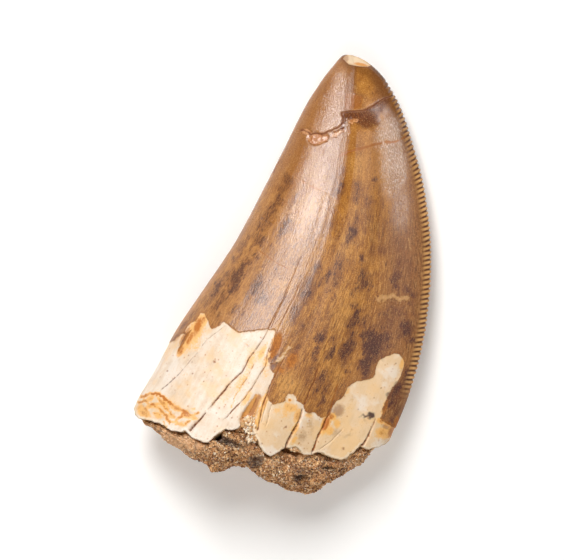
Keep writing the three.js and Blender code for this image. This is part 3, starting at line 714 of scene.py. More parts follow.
def mesh_face(upper):
    """Triangles of one face of the crown, as vertex numbers."""
    L = face_length
    left = np.stack([-L(yl, upper) / 2, yl], 1)
    right = np.stack([L(yr, upper) / 2, yr], 1)
    tip = np.array([[0.0, TIP_Y]])
    if upper:
        rim = flat_of(rim_s, rim_y, True)[0]
        rim_id = i_rim
    else:
        s = np.concatenate([[0.0], low_s[::-1], [1.0]])
        y = np.concatenate([[Y_LEFT], low_y[::-1], [Y_RIGHT]])
        rim = flat_of(s, y, False)[0]
        rim_id = np.concatenate([i_rim[:1], i_low[::-1], i_rim[-1:]])
    loop = np.concatenate([rim, right, tip, left[::-1]])
    loop_id = np.concatenate([rim_id, i_right, i_tip, i_left[::-1]])

    # rows along the serrated edge
    bands = []
    run = np.concatenate([[0], np.cumsum(np.linalg.norm(np.diff(right, axis=0), axis=1))])
    wide = [(0.07, 1), (0.15, 1), (0.24, 1), (0.34, 1), (0.45, 1), (0.56, 1), (0.68, 1), (0.8, 1), (0.92, 1),
            (1.05, 1), (1.18, 1), (1.32, 2), (1.48, 2), (1.66, 2), (1.84, 2)]
    if not upper:
        wide = [(0.08, 1), (0.18, 1), (0.3, 1), (0.44, 1), (0.6, 1), (0.78, 2), (0.98, 2), (1.2, 2)]
    for e, skip in wide:
        line = right[(skip // 2)::skip]
        d = np.gradient(line, axis=0)
        d /= np.linalg.norm(d, axis=1, keepdims=True)
        row = line + e * np.stack([-d[:, 1], d[:, 0]], 1)
        bands.append(row[row[:, 1] < 45.3])
    bands = np.concatenate(bands)
    bands = bands[np.abs(bands[:, 0]) < L(bands[:, 1], upper) / 2 - 0.05]

    if upper:
        lines = []
        for line, w0, w1, *_ in cracks:
            f = flat_from_px(resample(line, 0.8))
            w = w0 + (w1 - w0) * np.linspace(0, 1, len(f))
            w = np.maximum(w, 0.062)
            lines.append(beside(f, [0 * w, w, -w]))
        for line in pale_lines:
            f = flat_from_px(line)
            lines.append(beside(f, [np.zeros(len(f)), np.full(len(f), 0.09), np.full(len(f), -0.09)]))
        for line in [edge_line, tip_patch] + islands:
            f = flat_from_px(line)
            lines.append(beside(f, [np.full(len(f), 0.045), np.full(len(f), -0.045)]))
        fixed = np.concatenate(lines + [bands])
        step = STEP
    else:
        fixed = bands
        step = STEP_LOWER
    ok = np.abs(fixed[:, 0]) < L(fixed[:, 1], upper) / 2 - 0.05
    fixed = sparse(fixed[ok & (fixed[:, 1] < TIP_Y - 0.03)], 0.04)
    near_rim = fixed[:, 1] < 4.5
    ok = np.ones(len(fixed), bool)
    ok[near_rim] = inside(fixed[near_rim], loop)
    fixed = fixed[ok]
    fixed = fixed[clear_of(fixed, loop, 0.05)]

    wide = L(np.array([0.0]), upper)[0] / 2 + 1.5
    grid = [hexagons((-wide, -3.8), (wide, TIP_Y - 0.9), step, 3), hexagons((-3, TIP_Y - 0.9), (3, TIP_Y - 0.02), 0.075, 4)]
    grid = np.concatenate(grid)
    grid = grid[np.abs(grid[:, 0]) < L(grid[:, 1], upper) / 2 - 0.06]
    ok = np.ones(len(grid), bool)
    near_rim = grid[:, 1] < 4.5
    ok[near_rim] = inside(grid[near_rim], loop)
    grid = grid[ok]
    grid = grid[clear_of(grid, loop, step * 0.5)]
    grid = grid[clear_of(grid, fixed, step * 0.52)]

    extra = np.concatenate([fixed, grid])
    pts = np.concatenate([loop, extra])
    got = delaunay_2d_cdt([Vector(p) for p in pts.tolist()], [], [list(range(len(loop)))], 1, 1e-6)
    out = np.array([v[:] for v in got[0]])
    faces = np.array(got[2], dtype=np.int64)
    used = np.zeros(len(out), bool)
    used[faces.ravel()] = True
    ids = np.full(len(out), -1, np.int64)
    for k, o in enumerate(got[3]):
        for m in o:
            if m < len(loop):
                ids[k] = loop_id[m]
    new = np.nonzero((ids < 0) & used)[0]
    s, _ = share_from_flat(out[new, 0], out[new, 1], upper)
    ids[new] = add_verts(s, out[new, 1], 1 if upper else 0)
    a, b, c = out[faces[:, 0]], out[faces[:, 1]], out[faces[:, 2]]
    turn = (b[:, 0] - a[:, 0]) * (c[:, 1] - a[:, 1]) - (b[:, 1] - a[:, 1]) * (c[:, 0] - a[:, 0])
    faces[turn < 0] = faces[turn < 0][:, ::-1]
    uv = out[faces]
    faces = ids[faces]
    if not upper:
        faces, uv = faces[:, ::-1], uv[:, ::-1]
    return faces, uv


upper_faces, upper_uv = mesh_face(True)
lower_faces, lower_uv = mesh_face(False)
S = np.concatenate(vert_s)
Y = np.concatenate(vert_y)
UP = np.concatenate(vert_up)
base = np.where((UP > 0.5)[:, None], crown(S, Y, True), crown(S, Y, False))
base[i_tip[0]] = (TIP_X, TIP_Y, edge_plane(TIP_Y))
print("crown points", len(S), "faces", len(upper_faces), len(lower_faces))


def normals_of(p, faces):
    n = np.zeros_like(p)
    f = np.cross(p[faces[:, 1]] - p[faces[:, 0]], p[faces[:, 2]] - p[faces[:, 0]])
    for k in range(3):
        np.add.at(n, faces[:, k], f)
    return n / np.maximum(np.linalg.norm(n, axis=1, keepdims=True), 1e-12)


crown_faces = np.concatenate([upper_faces, lower_faces])
normal = normals_of(base, crown_faces)

# ---------------------------------------------------------------------------
# what each point of the crown shows
# ---------------------------------------------------------------------------
PX = to_px(base)
up = UP > 0.5
GROW = np.stack([(S - 0.5) * 29.0, Y], 1)


def on_upper(fn):
    out = np.zeros(len(S))
    out[up] = fn(PX[up])
    return out


# distance from the enamel's edge, in mm, positive on bare dentine
d, _ = line_distance(PX[up], edge_line, 14)
below = np.concatenate([edge_line, [(430, 440), (430, 580), (90, 580), (90, 343), (150, 343)]])
bare = np.where(inside(PX[up], below), 1, -1) * d
for isle in islands:
    di, _ = line_distance(PX[up], isle, 14)
    bare = np.maximum(bare, np.where(inside(PX[up], isle), 1, -1) * di)
dentine = np.zeros(len(S))
dentine[up] = bare * SCALE
q = np.stack([GROW[:, 0], np.zeros(len(S))], 1)
low_edge = 7.0 + (3.4 - 7.0) * S + (smooth(0, 0.1, S) * smooth(1, 0.9, S)) * (
    1.2 + 2.8 * fbm(q * 0.13 + 3, 71) + 1.6 * noise(q * 0.5, 72) + 0.5 * noise(q * 1.9, 73))
dentine[~up] = (low_edge - Y)[~up] * 0.8
dentine = np.clip(dentine, -1.5, 1.5)

# mottling: placed on the face that shows, scattered on the other
def torn(p):
    return (p + 1.5 * np.stack([noise(p / 3.1, 401), noise(p / 3.1, 402)], 1)
            + 2.2 * np.stack([noise(p / 7.7, 403), noise(p / 7.7, 404)], 1))


mottle = on_upper(lambda p: areas(torn(p), [(x, y, 1.3 * a, 1.3 * b, w) for x, y, a, b, w in MOTTLES], along=True))
wild = fbm(np.stack([GROW[:, 0] * 0.42, GROW[:, 1] * 0.16], 1) + 11, 81, 3)
bandy = smooth(7, 14, Y) * smooth(34, 24, Y)
mottle[~up] = (smooth(0.12, 0.42, wild) * bandy * 0.95)[~up]
mottle[up] *= 1 - 0.3 * np.clip(areas(PX[up], [(268, 206, 20, 46, 33, 1.2)]), 0, 1)

rust = on_upper(lambda p: areas(p, ORANGE))
brown = on_upper(lambda p: areas(p, BROWN))
yellow = on_upper(lambda p: areas(p, YELLOW))
grey = on_upper(lambda p: areas(p, GREY))
for pts, half, power in RUST_LINES:
    line = resample(np.array(pts, float) - 0.5, 0.8)
    line = line + 0.9 * np.stack([noise(line / 3.1, 561), noise(line / 3.1 + 9, 562)], 1)
    d, t = line_distance(PX[up], line, 6)
    thick = half * (1 + 0.5 * noise(PX[up] / 2.3, 563))
    rust[up] = np.maximum(rust[up], power * (1 - smooth(0.45, 1.7, d / thick)) * (0.8 + 0.3 * noise(PX[up] / 4.1, 564)))
wild = fbm(np.stack([GROW[:, 0] * 0.2, GROW[:, 1] * 0.12], 1) + 31, 84, 3)
rust[~up] = (smooth(0.1, 0.5, wild) * 0.7)[~up]
yellow[~up] = (smooth(-0.2, 0.4, -wild) * 0.5)[~up]
wild = fbm(np.stack([GROW[:, 0] * 0.25, GROW[:, 1] * 0.12], 1) + 51, 86, 3)
brown[~up] = (smooth(0.15, 0.6, wild) * 0.6)[~up]
specks = np.zeros(len(S))
for x, y, r in SPECKS:
    dd = np.linalg.norm(PX - (x - 0.5, y - 0.5), axis=1)
    specks = np.where(up, np.maximum(specks, 1 - smooth(0.7 * r, 1.25 * r, dd)), specks)

# cracks: dark and ochre masks, and how deep they go
groove = np.zeros(len(S))
dark = np.zeros(len(S))
ochre = np.zeros(len(S))
for line, w0, w1, depth, dk, oc in cracks:
    reach = (max(w0, w1) + 0.3) / SCALE
    d, t = line_distance(PX[up], line, reach)
    d = d * SCALE
    w = w0 + (w1 - w0) * t
    ends = smooth(0, 0.06, t) * smooth(1, 0.95, t)
    inn = (1 - smooth(0.45 * w, 1.05 * w + 0.012, d)) * ends
    deep = (w / max(w0, w1))
    groove[up] = np.maximum(groove[up], depth * inn * deep * (0.15 + 0.85 * (dentine[up] > 0)))
    beads = 0.8 + 0.35 * noise(PX[up] / 1.9, 140)
    stain_in = (1 - smooth(0.5 * w, 1.1 * w + 0.022, d)) * ends
    dark[up] = np.maximum(dark[up], dk * stain_in * deep ** 0.7 * beads)
    patchy = 0.75 + 0.5 * noise(PX[up] / 3.3, 141)
    oc = oc + (0.42 if depth > 0.19 else 0.0)
    ochre[up] = np.maximum(ochre[up], oc * (1 - smooth(0.5 * w, 1.1 * w + 0.06, d)) * ends * patchy)
pale = np.zeros(len(S))
for k, line in enumerate(pale_lines):
    d, t = line_distance(PX[up], line, 6)
    wide, much = ((3.1, 1.0), (2.5, 1.4))[k] if k < 2 else (0.95, 0.6)
    wide = wide * (1 + (0.75 if k < 2 else 0.2) * noise(PX[up] / 3.1, 565 + k))
    pale[up] = np.maximum(pale[up], much * (1 - smooth(0.35, 1.0, d / np.maximum(wide, 0.3))) * smooth(0, 0.08, t) * smooth(1, 0.92, t))

# a few cracks on the face that it lies on
FLAT = np.stack([np.zeros(len(S)), Y], 1)
FLAT[~up] = flat_of(S[~up], Y[~up], False)[0]
for k, (s0, y0, y1, w) in enumerate([(0.16, -2.5, 20, 0.07), (0.3, -2.5, 31, 0.1), (0.44, -2.6, 15, 0.06),
                                     (0.55, -2.5, 26, 0.11), (0.71, -2, 34, 0.06), (0.84, -1, 18, 0.07)]):
    yy = np.arange(y0, y1, 0.25)
    q = np.stack([yy * 0.17, np.full_like(yy, k * 5.3)], 1)
    ss = s0 + 0.035 * fbm(q, 91 + k) + 0.006 * noise(q * 9, 97)
    line = flat_of(ss, yy, False)[0]
    d, t = line_distance(FLAT[~up], line, 0.6)
    inn = (1 - smooth(0.6 * w, 1.2 * w + 0.05, d)) * smooth(1, 0.7, t)
    groove[~up] = np.maximum(groove[~up], 0.25 * inn)
    dark[~up] = np.maximum(dark[~up], 0.85 * inn)

# distance from the worn tip's pale patch, mm, positive on it
tip_bare = np.full(len(S), -1.5)
near = (Y > 43) & up
d, _ = line_distance(PX[near], tip_patch, 12)
tip_bare[near] = np.where(inside(PX[near], tip_patch), 1, -1) * d * SCALE
near = (Y > 44.6) & ~up
tip_bare[near] = (Y[near] - 45.35) * 1.2 + 0.1 * noise(GROW[near] * 2.0, 77)
tip_bare = np.clip(tip_bare, -1.5, 1.5)

# serration: arc from the tip and distance from the edge, seen along Z
yy = np.concatenate([[TIP_Y], yr[::-1], [Y_RIGHT]])
edge_xy = crown(np.ones_like(yy), yy, True)[:, :2]
total = np.linalg.norm(np.diff(edge_xy, axis=0), axis=1).sum()
d, t = line_distance(base[:, :2], edge_xy, 2.2)
edge_a, edge_e = t * total, d
edge_e[(S < 0.5) & (Y < 44)] = 2.2
edge_f = smooth(4.2, 6.4, edge_a) * smooth(6.4, 10.0, Y)
LEAN = 0.25
phase = (edge_a - LEAN * edge_e) / 0.588
phase = phase + 0.06 * noise(np.stack([phase * 0.9, edge_e * 0], 1), 12)
part_of = np.abs(phase - np.round(phase))
long_bar = 0.58 + 0.42 * smooth(6, 15, edge_a)
slit = (0.5 + 0.5 * np.cos(2 * math.pi * part_of)) ** (1.5 + 1.2 * np.clip(edge_e, 0, 1.2)) * (1 - smooth(0.05, 1.3, edge_e / long_bar)) * edge_f

# how polished the enamel is: most along the ridge and beside the serration
# in the upper half, least in the hollow between them
polish = smooth(0.47, 0.4, S) * smooth(-2, 4, Y)
# the sheen zone beside the serration: real polish here, and also the mask for the pale sheen painted into the enamel
# colour
polish_and_painted_sheen = np.zeros(len(S))
polish_and_painted_sheen[up] = smooth(0.0, 1.0, areas(PX[up], [
    (388, 135, 14, 21, 12, 1.15), (393, 168, 17, 36, 4, 0.9), (401, 210, 15, 34, 2, 0.55)]))
polish_and_painted_sheen[up] *= 1 - 0.85 * smooth(0.15, 0.6, np.maximum(rust, brown)[up])
polish[up] = np.maximum(polish[up], polish_and_painted_sheen[up])
polish[up] *= 1 - 0.85 * smooth(0.2, 0.7, np.maximum(rust, brown)[up])
polish[~up] = 0.6

# ---------------------------------------------------------------------------
# the crown's relief
# ---------------------------------------------------------------------------
is_bare = smooth(-0.02, 0.05, dentine)
move = np.zeros(len(S))
soft_edge = on_upper(lambda p: np.clip(1.6 * areas(p, [(277, 358, 13, 24, 20, 1.0)]), 0, 1))
move -= 0.075 * is_bare * (1 - 0.9 * soft_edge)
move -= groove
move -= 0.19 * slit
move += UP * 0.2 * np.exp(-((S - 0.615) / 0.085) ** 2) * smooth(8, 14, Y) * smooth(40, 36, Y)
g2 = np.stack([GROW[:, 0] * 1.5, GROW[:, 1] * 0.16, UP * 7], 1)
g3 = np.stack([GROW[:, 0] * 0.5, GROW[:, 1] * 0.07, UP * 7 + 3], 1)
ridges = fbm(g2, 41, 3)
move += (0.02 * ridges + 0.035 * fbm(g3, 45, 2)) * (1 - 0.3 * is_bare) * (1 - 0.8 * smooth(34, 40, Y))
move += 0.028 * fbm(base * 0.7, 47, 3) * is_bare + 0.012 * fbm(base * 2.2, 48, 2) * is_bare
# rubbly, flaking patch at the lower left and along the right shard's foot
rubble = on_upper(lambda p: areas(p, [(166, 412, 34, 16, 0, 1.0), (140, 408, 12, 10, 0, 1.0), (252, 425, 8, 14, 0, 0.8)]))
lump = fbm(base * 1.9 + 5, 49, 3)
move += rubble * (0.17 * np.abs(lump) - 0.10 - 0.07 * smooth(0.2, 0.6, rust))
# chips along the first crack, the spall above it, and the worn patch on the tip
CHIPS = [
    ([(299, 129.4), (303, 128.2), (309, 128.8), (311.5, 131.5), (311, 134.5), (306, 135.6), (301.5, 133.6)], 0.10, 0.35),
    ([(307.5, 136.5), (312, 133.8), (317, 133), (321, 134.8), (326, 134), (329, 136), (327.5, 140.5), (322, 143.4),
      (315.5, 145), (310, 143), (307, 140)], 0.16, 0.75),
    ([(330, 136.8), (333, 132.8), (338, 130.2), (344.5, 129), (345, 131), (340, 133.6), (337, 137), (332.5, 138.4)], 0.12, 0.45),
    ([(347.5, 121), (350, 118.6), (354, 118.8), (357.5, 117.8), (359, 120), (357, 122.6), (354, 122.4), (351.6, 124.4), (349, 123.6)], 0.05, 0.5),
]
chips = np.zeros(len(S))
chip_depth = np.zeros(len(S))
for k, (pts, deep, red) in enumerate(CHIPS):
    deep = 0.6 * deep
    line = resample(np.array(pts + pts[:1], float) - 0.5, 0.8)
    line = line + 0.7 * np.stack([noise(line / 1.9, 171 + k), noise(line / 1.9 + 9, 181 + k)], 1)
    d, _ = line_distance(PX[up], line, 12)
    d = np.where(inside(PX[up], line), 1, -1) * d
    into = smooth(-0.5, 0.7, d)
    chips[up] = np.maximum(chips[up], into * (0.55 + 0.45 * red))
    # each chip slopes down to the fracture above it
    slope = np.clip((np.array(pts)[:, 1].max() - PX[up][:, 1]) / np.ptp(np.array(pts)[:, 1]), 0, 1)
    chip_depth[up] = np.maximum(chip_depth[up], into * deep * (0.35 + 0.65 * slope))
move -= chip_depth + 0.11 * (chips > 0.2) * np.abs(noise(base * 3.4 + 3, 52))
step_in = on_upper(lambda p: areas(p, [(366, 119, 13, 6.5, -60, 1.0), (352, 115, 9, 3, 90, 1.0), (378, 109, 9, 5, -55, 0.9)]))
move -= 0.006 * smooth(0.1, 0.9, step_in)
spall = on_upper(lambda p: inside(p, [(344.4, 94.2), (350, 93.6), (361, 95.2), (361.6, 103), (358, 108.6), (345, 109)]).astype(float))
move -= 0.012 * spall
on_tip = smooth(-0.03, 0.05, tip_bare)
move -= 0.05 * on_tip * smooth(TIP_Y + 0.02, TIP_Y - 0.5, Y)
# a stained hollow runs up from the notch between the two halves
hollow = np.zeros(len(S))
hollow_side = np.zeros(len(S))
HOLLOW = np.array([(260.5, 393), (257, 400), (252.5, 408), (249, 416), (247.5, 421)]) - 0.5
d, tt = line_distance(PX[up], HOLLOW, 12)
reach = 4.4 + 4.6 * tt
hollow[up] = (1 - smooth(0.55, 1.05, d / reach)) * smooth(0, 0.12, tt)
across = (PX[up] - HOLLOW[0]) @ np.array([0.87, 0.49])
hollow_side[up] = np.clip(across / reach, -1, 1)
move -= hollow * (0.14 + 0.4 * smooth(0, 0.8, (PX[:, 1] - 396) / 22))
# how far from the broken rim, mm
from_rim = np.full(len(S), 1.5)
rim_line = to_px(crown(rim_s, rim_y, True))
d, _ = line_distance(PX[up], rim_line, 13)
from_rim[up] = np.clip(d * SCALE, 0, 1.5)
still = np.zeros(len(S), bool)
still[i_tip] = True
move[still] = 0
final = base + normal * move[:, None]
# the serrated edge's points, in a mask not used further; no point sinks below the floor
on_line = np.zeros(len(S), bool)
on_line[i_right] = True
final[:, 2] = np.maximum(final[:, 2], 0.0)

# ---------------------------------------------------------------------------
# the broken rim, the wall's thickness and the pulp cavity
# ---------------------------------------------------------------------------


def middle(y):
    a, b = left_edge(y), right_edge(y)
    return np.stack([a + (b - a) * 0.46, y, edge_plane(y) + (rise(y) - drop(y)) * 0.36], -1)


loop_ids = np.concatenate([i_rim, i_low])
loop_s, loop_y = S[loop_ids], Y[loop_ids]
loop_up = UP[loop_ids] > 0.5
outer = final[loop_ids]
mid = middle(loop_y)
wall = np.linalg.norm((outer - mid) * (1 - WALL_X), axis=1)
rim_rings = [(0.015, 0.0), (0.05, 0.04), (0.11, 0.1), (0.19, 0.14), (0.28, 0.16), (0.38, 0.2), (0.48, 0.26), (0.58, 0.3),
             (0.68, 0.36), (0.78, 0.42), (0.88, 0.5), (0.96, 0.62), (1.0, 0.9), (1.0, 1.5), (1.02, 2.2), (1.12, 3.0),
             (1.5, 3.6), (2.4, 4.0)]
rings = [loop_ids]
ring_pos = []
total_verts = len(S)
for j, (t, rise_in) in enumerate(rim_rings):
    k = 1 - (1 - 0.75) * t
    p = mid + (outer - mid) * np.array([k, 1, k])
    rough = smooth(0, 0.12, t) * smooth(2.4, 1.5, t)
    n3 = p * np.array([1.1, 0.4, 1.1])
    jag = 0.2 * fbm(n3 + 3, 201, 3) + 0.1 * noise(p * 3.1, 205) + 0.05 * noise(p * 7.3, 206)
    p[:, 1] = loop_y + rise_in * (1 if t < 1.01 else 1 - 0.05 * loop_y) + rough * jag
    p[:, 0] += rough * 0.09 * noise(p * 2.3 + 8, 207)
    p[:, 2] += rough * 0.09 * noise(p * 2.3 + 18, 208)
    ring_pos.append(p)
    rings.append(np.arange(total_verts, total_verts + len(p)))
    total_verts += len(p)
end_id = total_verts
end_point = middle(np.array([2.6]))
band_faces, band_uv = [], []
arc = np.concatenate([[0], np.cumsum(np.linalg.norm(np.diff(np.concatenate([outer, outer[:1]]), axis=0), axis=1))])
depth_run = 0.0
levels = [0.0]
prev = outer
for p in ring_pos:
    depth_run += max(0.05, float(np.median(np.linalg.norm(p - prev, axis=1))))
    levels.append(depth_run)
    prev = p
n = len(loop_ids)
k0, k1 = np.arange(n), (np.arange(n) + 1) % n
for j in range(len(rings) - 1):
    A, B = rings[j], rings[j + 1]
    ua, ub = arc[:-1], arc[1:]
    va, vb = np.full(n, levels[j]), np.full(n, levels[j + 1])
    band_faces.append(np.stack([A[k1], A[k0], B[k0]], 1))
    band_uv.append(np.stack([np.stack([ub, va], 1), np.stack([ua, va], 1), np.stack([ua, vb], 1)], 1))
    band_faces.append(np.stack([A[k1], B[k0], B[k1]], 1))
    band_uv.append(np.stack([np.stack([ub, va], 1), np.stack([ua, vb], 1), np.stack([ub, vb], 1)], 1))
B = rings[-1]
band_faces.append(np.stack([B[k1], B[k0], np.full(n, end_id)], 1))
band_uv.append(np.stack([np.stack([arc[1:], np.full(n, levels[-1])], 1), np.stack([arc[:-1], np.full(n, levels[-1])], 1),
                         np.stack([np.full(n, arc[-1] / 2), np.full(n, levels[-1] + 1.2)], 1)], 1))
band_faces = np.concatenate(band_faces)
band_uv = np.concatenate(band_uv)

tooth_points = np.concatenate([final] + ring_pos + [end_point])
tooth_faces = np.concatenate([upper_faces, lower_faces, band_faces])

# flat maps side by side: the upper face, the lower face, the rim in two rows
half_up = face_length(np.array([0.0]), True)[0] / 2 + 0.6
half_low = face_length(np.array([0.0]), False)[0] / 2 + 0.6
row_len = arc[-1] / 2
deep = levels[-1] + 1.4
uv_up = upper_uv + (half_up, 4.2)
uv_low = lower_uv * (-1, 1) + (2 * half_up + half_low, 4.2)
uv_band = band_uv.copy()
second = band_uv[:, :, 0].mean(1) > row_len
uv_band[second] -= (row_len, 0)
uv_band[:, :, 1] += 51
uv_band[second] += (0, deep + 0.3)
uv_band[:, :, 0] += 0.5
tooth_uv = np.concatenate([uv_up, uv_low, uv_band])
tooth_uv = tooth_uv / (max(2 * half_up + 2 * half_low, 51.5 + 2 * deep + 0.8, row_len + 3) * 1.01) + 0.004


def extend(values, fill):
    extra = np.full(len(tooth_points) - len(S), float(fill))
    return np.concatenate([values, extra])


def build(name, points, faces, uv, attributes, smooth_shading=True):
    """A mesh object from millimetres in the drawing frame."""
    mesh = bpy.data.meshes.new(name)
    where = (points + DATUM) / 1000.0
    mesh.vertices.add(len(where))
    mesh.vertices.foreach_set("co", where.ravel())
    mesh.loops.add(faces.size)
    mesh.loops.foreach_set("vertex_index", faces.astype(np.int32).ravel())
    mesh.polygons.add(len(faces))
    mesh.polygons.foreach_set("loop_start", np.arange(0, faces.size, 3, dtype=np.int32))
    mesh.polygons.foreach_set("loop_total", np.full(len(faces), 3, np.int32))
    mesh.polygons.foreach_set("use_smooth", np.full(len(faces), smooth_shading))
    layer = mesh.uv_layers.new(name="OFBake")
    layer.data.foreach_set("uv", uv.astype(np.float32).ravel())
    for key, value in attributes.items():
        value = np.asarray(value, np.float32)
        if value.ndim == 1:
            a = mesh.attributes.new(key, "FLOAT", "POINT")
            a.data.foreach_set("value", value)
        else:
            a = mesh.attributes.new(key, "FLOAT_VECTOR", "POINT")
            a.data.foreach_set("vector", value.ravel())
    mesh.update()
    mesh.validate()
    obj = bpy.data.objects.new(name, mesh)
    bpy.context.collection.objects.link(obj)
    return obj


band_n = len(tooth_points) - len(S)
grow_all = np.concatenate([np.stack([GROW[:, 0], GROW[:, 1], UP * 5], 1),
                           np.concatenate([tooth_points[len(S):, [0, 2]], np.full((band_n, 1), 9.0)], 1)])
tooth = build("tooth_crown", tooth_points, tooth_faces, tooth_uv, {
    "grow": grow_all,
    "bare": np.stack([extend(dentine, 1.5), extend(tip_bare, -1.5), extend(UP, 0.5)], 1),
    "stain": np.stack([extend(mottle, 0), extend(rust, 0.25), extend(brown, 0)], 1),
    "tone": np.stack([extend(yellow, 0), extend(grey, 0), extend(specks, 0)], 1),
    "line": np.stack([extend(dark, 0), extend(ochre, 0), extend(pale, 0)], 1),
    "serration": np.stack([extend(edge_a, 0), extend(edge_e, 2.2), extend(edge_f, 0)], 1),
    "worn": np.stack([extend(chips, 0), extend(step_in, 0), extend(rubble, 0.6)], 1),
    "hollow": np.stack([extend(hollow, 0), extend(hollow_side, 0), extend(from_rim, 0.0)], 1),
    "spall": extend(spall, 0),
    "broken": np.concatenate([np.zeros(len(S)), np.ones(band_n)]),
    "polish": extend(polish, 0),
    "polish_and_painted_sheen": extend(polish_and_painted_sheen, 0),
})
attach(tooth, "root")
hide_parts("tooth")
print("tooth", len(tooth_points), len(tooth_faces))

# ---------------------------------------------------------------------------
# the sandy matrix
# ---------------------------------------------------------------------------
# its lower end, seen from above: x, height
MATRIX_END = [
    (-15.3, -2.25), (-14.39, -3.01), (-12.75, -3.19), (-11.72, -3.61), (-10.57, -4.33), (-9.2, -4.62), (-7.76, -5.27),
    (-7.07, -5.6), (-6.12, -5.44), (-5.18, -5.78), (-4.65, -6.42), (-3.84, -6.37), (-3.29, -5.95), (-2.52, -5.2),
    (-0.71, -4.85), (0.01, -5.3), (1.11, -5.78), (1.92, -6.08), (3.29, -6.13), (5.0, -6.55), (5.96, -6.49),
    (7.2, -6.5), (7.86, -6.35), (8.36, -5.68), (9.27, -4.85), (9.89, -4.34), (11.15, -3.67), (12.04, -2.97),
    (12.52, -2.42), (12.81, -1.56), (13.28, -0.9), (13.74, -0.23), (14.09, 0.22), (14.81, 0.95), (15.39, 1.64),
]
mx, my = np.array(MATRIX_END).T


def matrix_end(x):
    return np.interp(x, mx, my)


def rim_at(s, upper):
    y = np.full_like(s, -2.0)
    for _ in range(6):
        x = left_edge(y) + (right_edge(y) - left_edge(y)) * s
        y = np.where(upper, rim_upper_of(x), rim_lower_of(x))
    return y


NU, NL = 230, 120
col_s = np.concatenate([(1 - np.cos(np.linspace(0, np.pi, NU + 1)[:-1])) / 2 * 0.35 + np.linspace(0, 1, NU + 1)[:-1] * 0.65,
                        1 - ((1 - np.cos(np.linspace(0, np.pi, NL + 1)[:-1])) / 2 * 0.5 + np.linspace(0, 1, NL + 1)[:-1] * 0.5)])
col_up = np.arange(NU + NL) < NU
col_rim = rim_at(col_s, col_up)


def sections(y, k):
    p = np.where(col_up[:, None], crown(col_s, y, True), crown(col_s, y, False))
    c = middle(y)
    k = np.broadcast_to(np.asarray(k, float), y.shape)[:, None]
    q = c + (p - c) * k
    q[:, 1] = y
    return q


def notch_reach(p):
    """How near the open notch in the rim, on the face that shows."""
    near = to_px(p) + 0.5
    d, _ = line_distance(near, [(242, 432), (247, 424), (248.5, 420)], 20)
    return (1 - smooth(3, 9, d)) * col_up


matrix_rings = []
SOCKET = 4.6
for upward, size in [(0.84, 0.45), (0.8, 0.66), (0.7, 0.82), (0.58, 0.9), (0.45, 0.95), (0.33, 0.98), (0.22, 0.99),
                     (0.12, 0.99), (0.05, 0.99)]:
    y = col_rim + (SOCKET - 0.35 * (col_rim + 2)) * upward - 0.2
    p = sections(y, 0.735 * size)
    more = notch_reach(p)
    p2 = sections(y, 0.735 * size + (0.93 - 0.735 * size) * more * (size > 0.8))
    matrix_rings.append(np.where(more[:, None] > 0, p2, p))
for k in [0.78, 0.83, 0.87]:
    matrix_rings.append(sections(col_rim + 0.06 - 0.4 * (k - 0.78), k))
profile = [(0.0, 0.9), (0.05, 0.915), (0.1, 0.925), (0.15, 0.93), (0.2, 0.935), (0.25, 0.935), (0.3, 0.93), (0.35, 0.925),
           (0.4, 0.918), (0.45, 0.91), (0.5, 0.9), (0.55, 0.888), (0.6, 0.875), (0.65, 0.858), (0.7, 0.838), (0.74, 0.82),
           (0.78, 0.8), (0.82, 0.775), (0.855, 0.75), (0.885, 0.72), (0.91, 0.69), (0.93, 0.66), (0.948, 0.63),
           (0.962, 0.6), (0.974, 0.565), (0.983, 0.53), (0.99, 0.49), (0.995, 0.45), (0.998, 0.41), (1.0, 0.37),
           (1.0, 0.33), (1.0, 0.29), (1.0, 0.25), (1.0, 0.21), (1.0, 0.17), (1.0, 0.13), (1.0, 0.09), (1.0, 0.05)]
top_y = col_rim - 0.12
reach_x = sections(top_y, 0.93)[:, 0]
for down, k in profile:
    shape = sections(top_y, k)
    wide = sections(top_y, max(k, 0.72))
    end = np.minimum(matrix_end(np.where(down < 0.9, wide[:, 0], shape[:, 0])), top_y - 0.45)
    p = shape.copy()
    p[:, 1] = top_y + (end - top_y) * down
    matrix_rings.append(p)
ring_count, around = len(matrix_rings), NU + NL
mat_points = np.concatenate(matrix_rings)
mat_foot = middle(np.array([-3.6]))
mat_foot[:, 1] = matrix_end(mat_foot[:, 0])
mat_head = middle(np.array([-2 + SOCKET * 0.84]))
head_id, foot_id = len(mat_points), len(mat_points) + 1
mat_points = np.concatenate([mat_points, mat_head, mat_foot])
faces, uvs = [], []
i0, i1 = np.arange(around), (np.arange(around) + 1) % around
along = np.concatenate([[0], np.cumsum(np.linalg.norm(np.diff(np.concatenate([matrix_rings[14], matrix_rings[14][:1]]), axis=0), axis=1))])
down_run = [0.0]
for a, b in zip(matrix_rings[:-1], matrix_rings[1:]):
    down_run.append(down_run[-1] + max(0.08, float(np.median(np.linalg.norm(b - a, axis=1)))))
for j in range(ring_count - 1):
    A, B = j * around + i0, j * around + i1
    C, D = (j + 1) * around + i0, (j + 1) * around + i1
    ua, ub = along[:-1], along[1:]
    va, vb = np.full(around, down_run[j]), np.full(around, down_run[j + 1])
    faces.append(np.stack([A, C, B], 1))
    uvs.append(np.stack([np.stack([ua, va], 1), np.stack([ua, vb], 1), np.stack([ub, va], 1)], 1))
    faces.append(np.stack([B, C, D], 1))
    uvs.append(np.stack([np.stack([ub, va], 1), np.stack([ua, vb], 1), np.stack([ub, vb], 1)], 1))
faces.append(np.stack([i0, i1, np.full(around, head_id)], 1))
uvs.append(np.stack([np.stack([along[:-1], np.zeros(around)], 1), np.stack([along[1:], np.zeros(around)], 1),
                     np.stack([np.full(around, along[-1] / 2), np.full(around, -1.5)], 1)], 1))
last = (ring_count - 1) * around
faces.append(np.stack([last + i1, last + i0, np.full(around, foot_id)], 1))
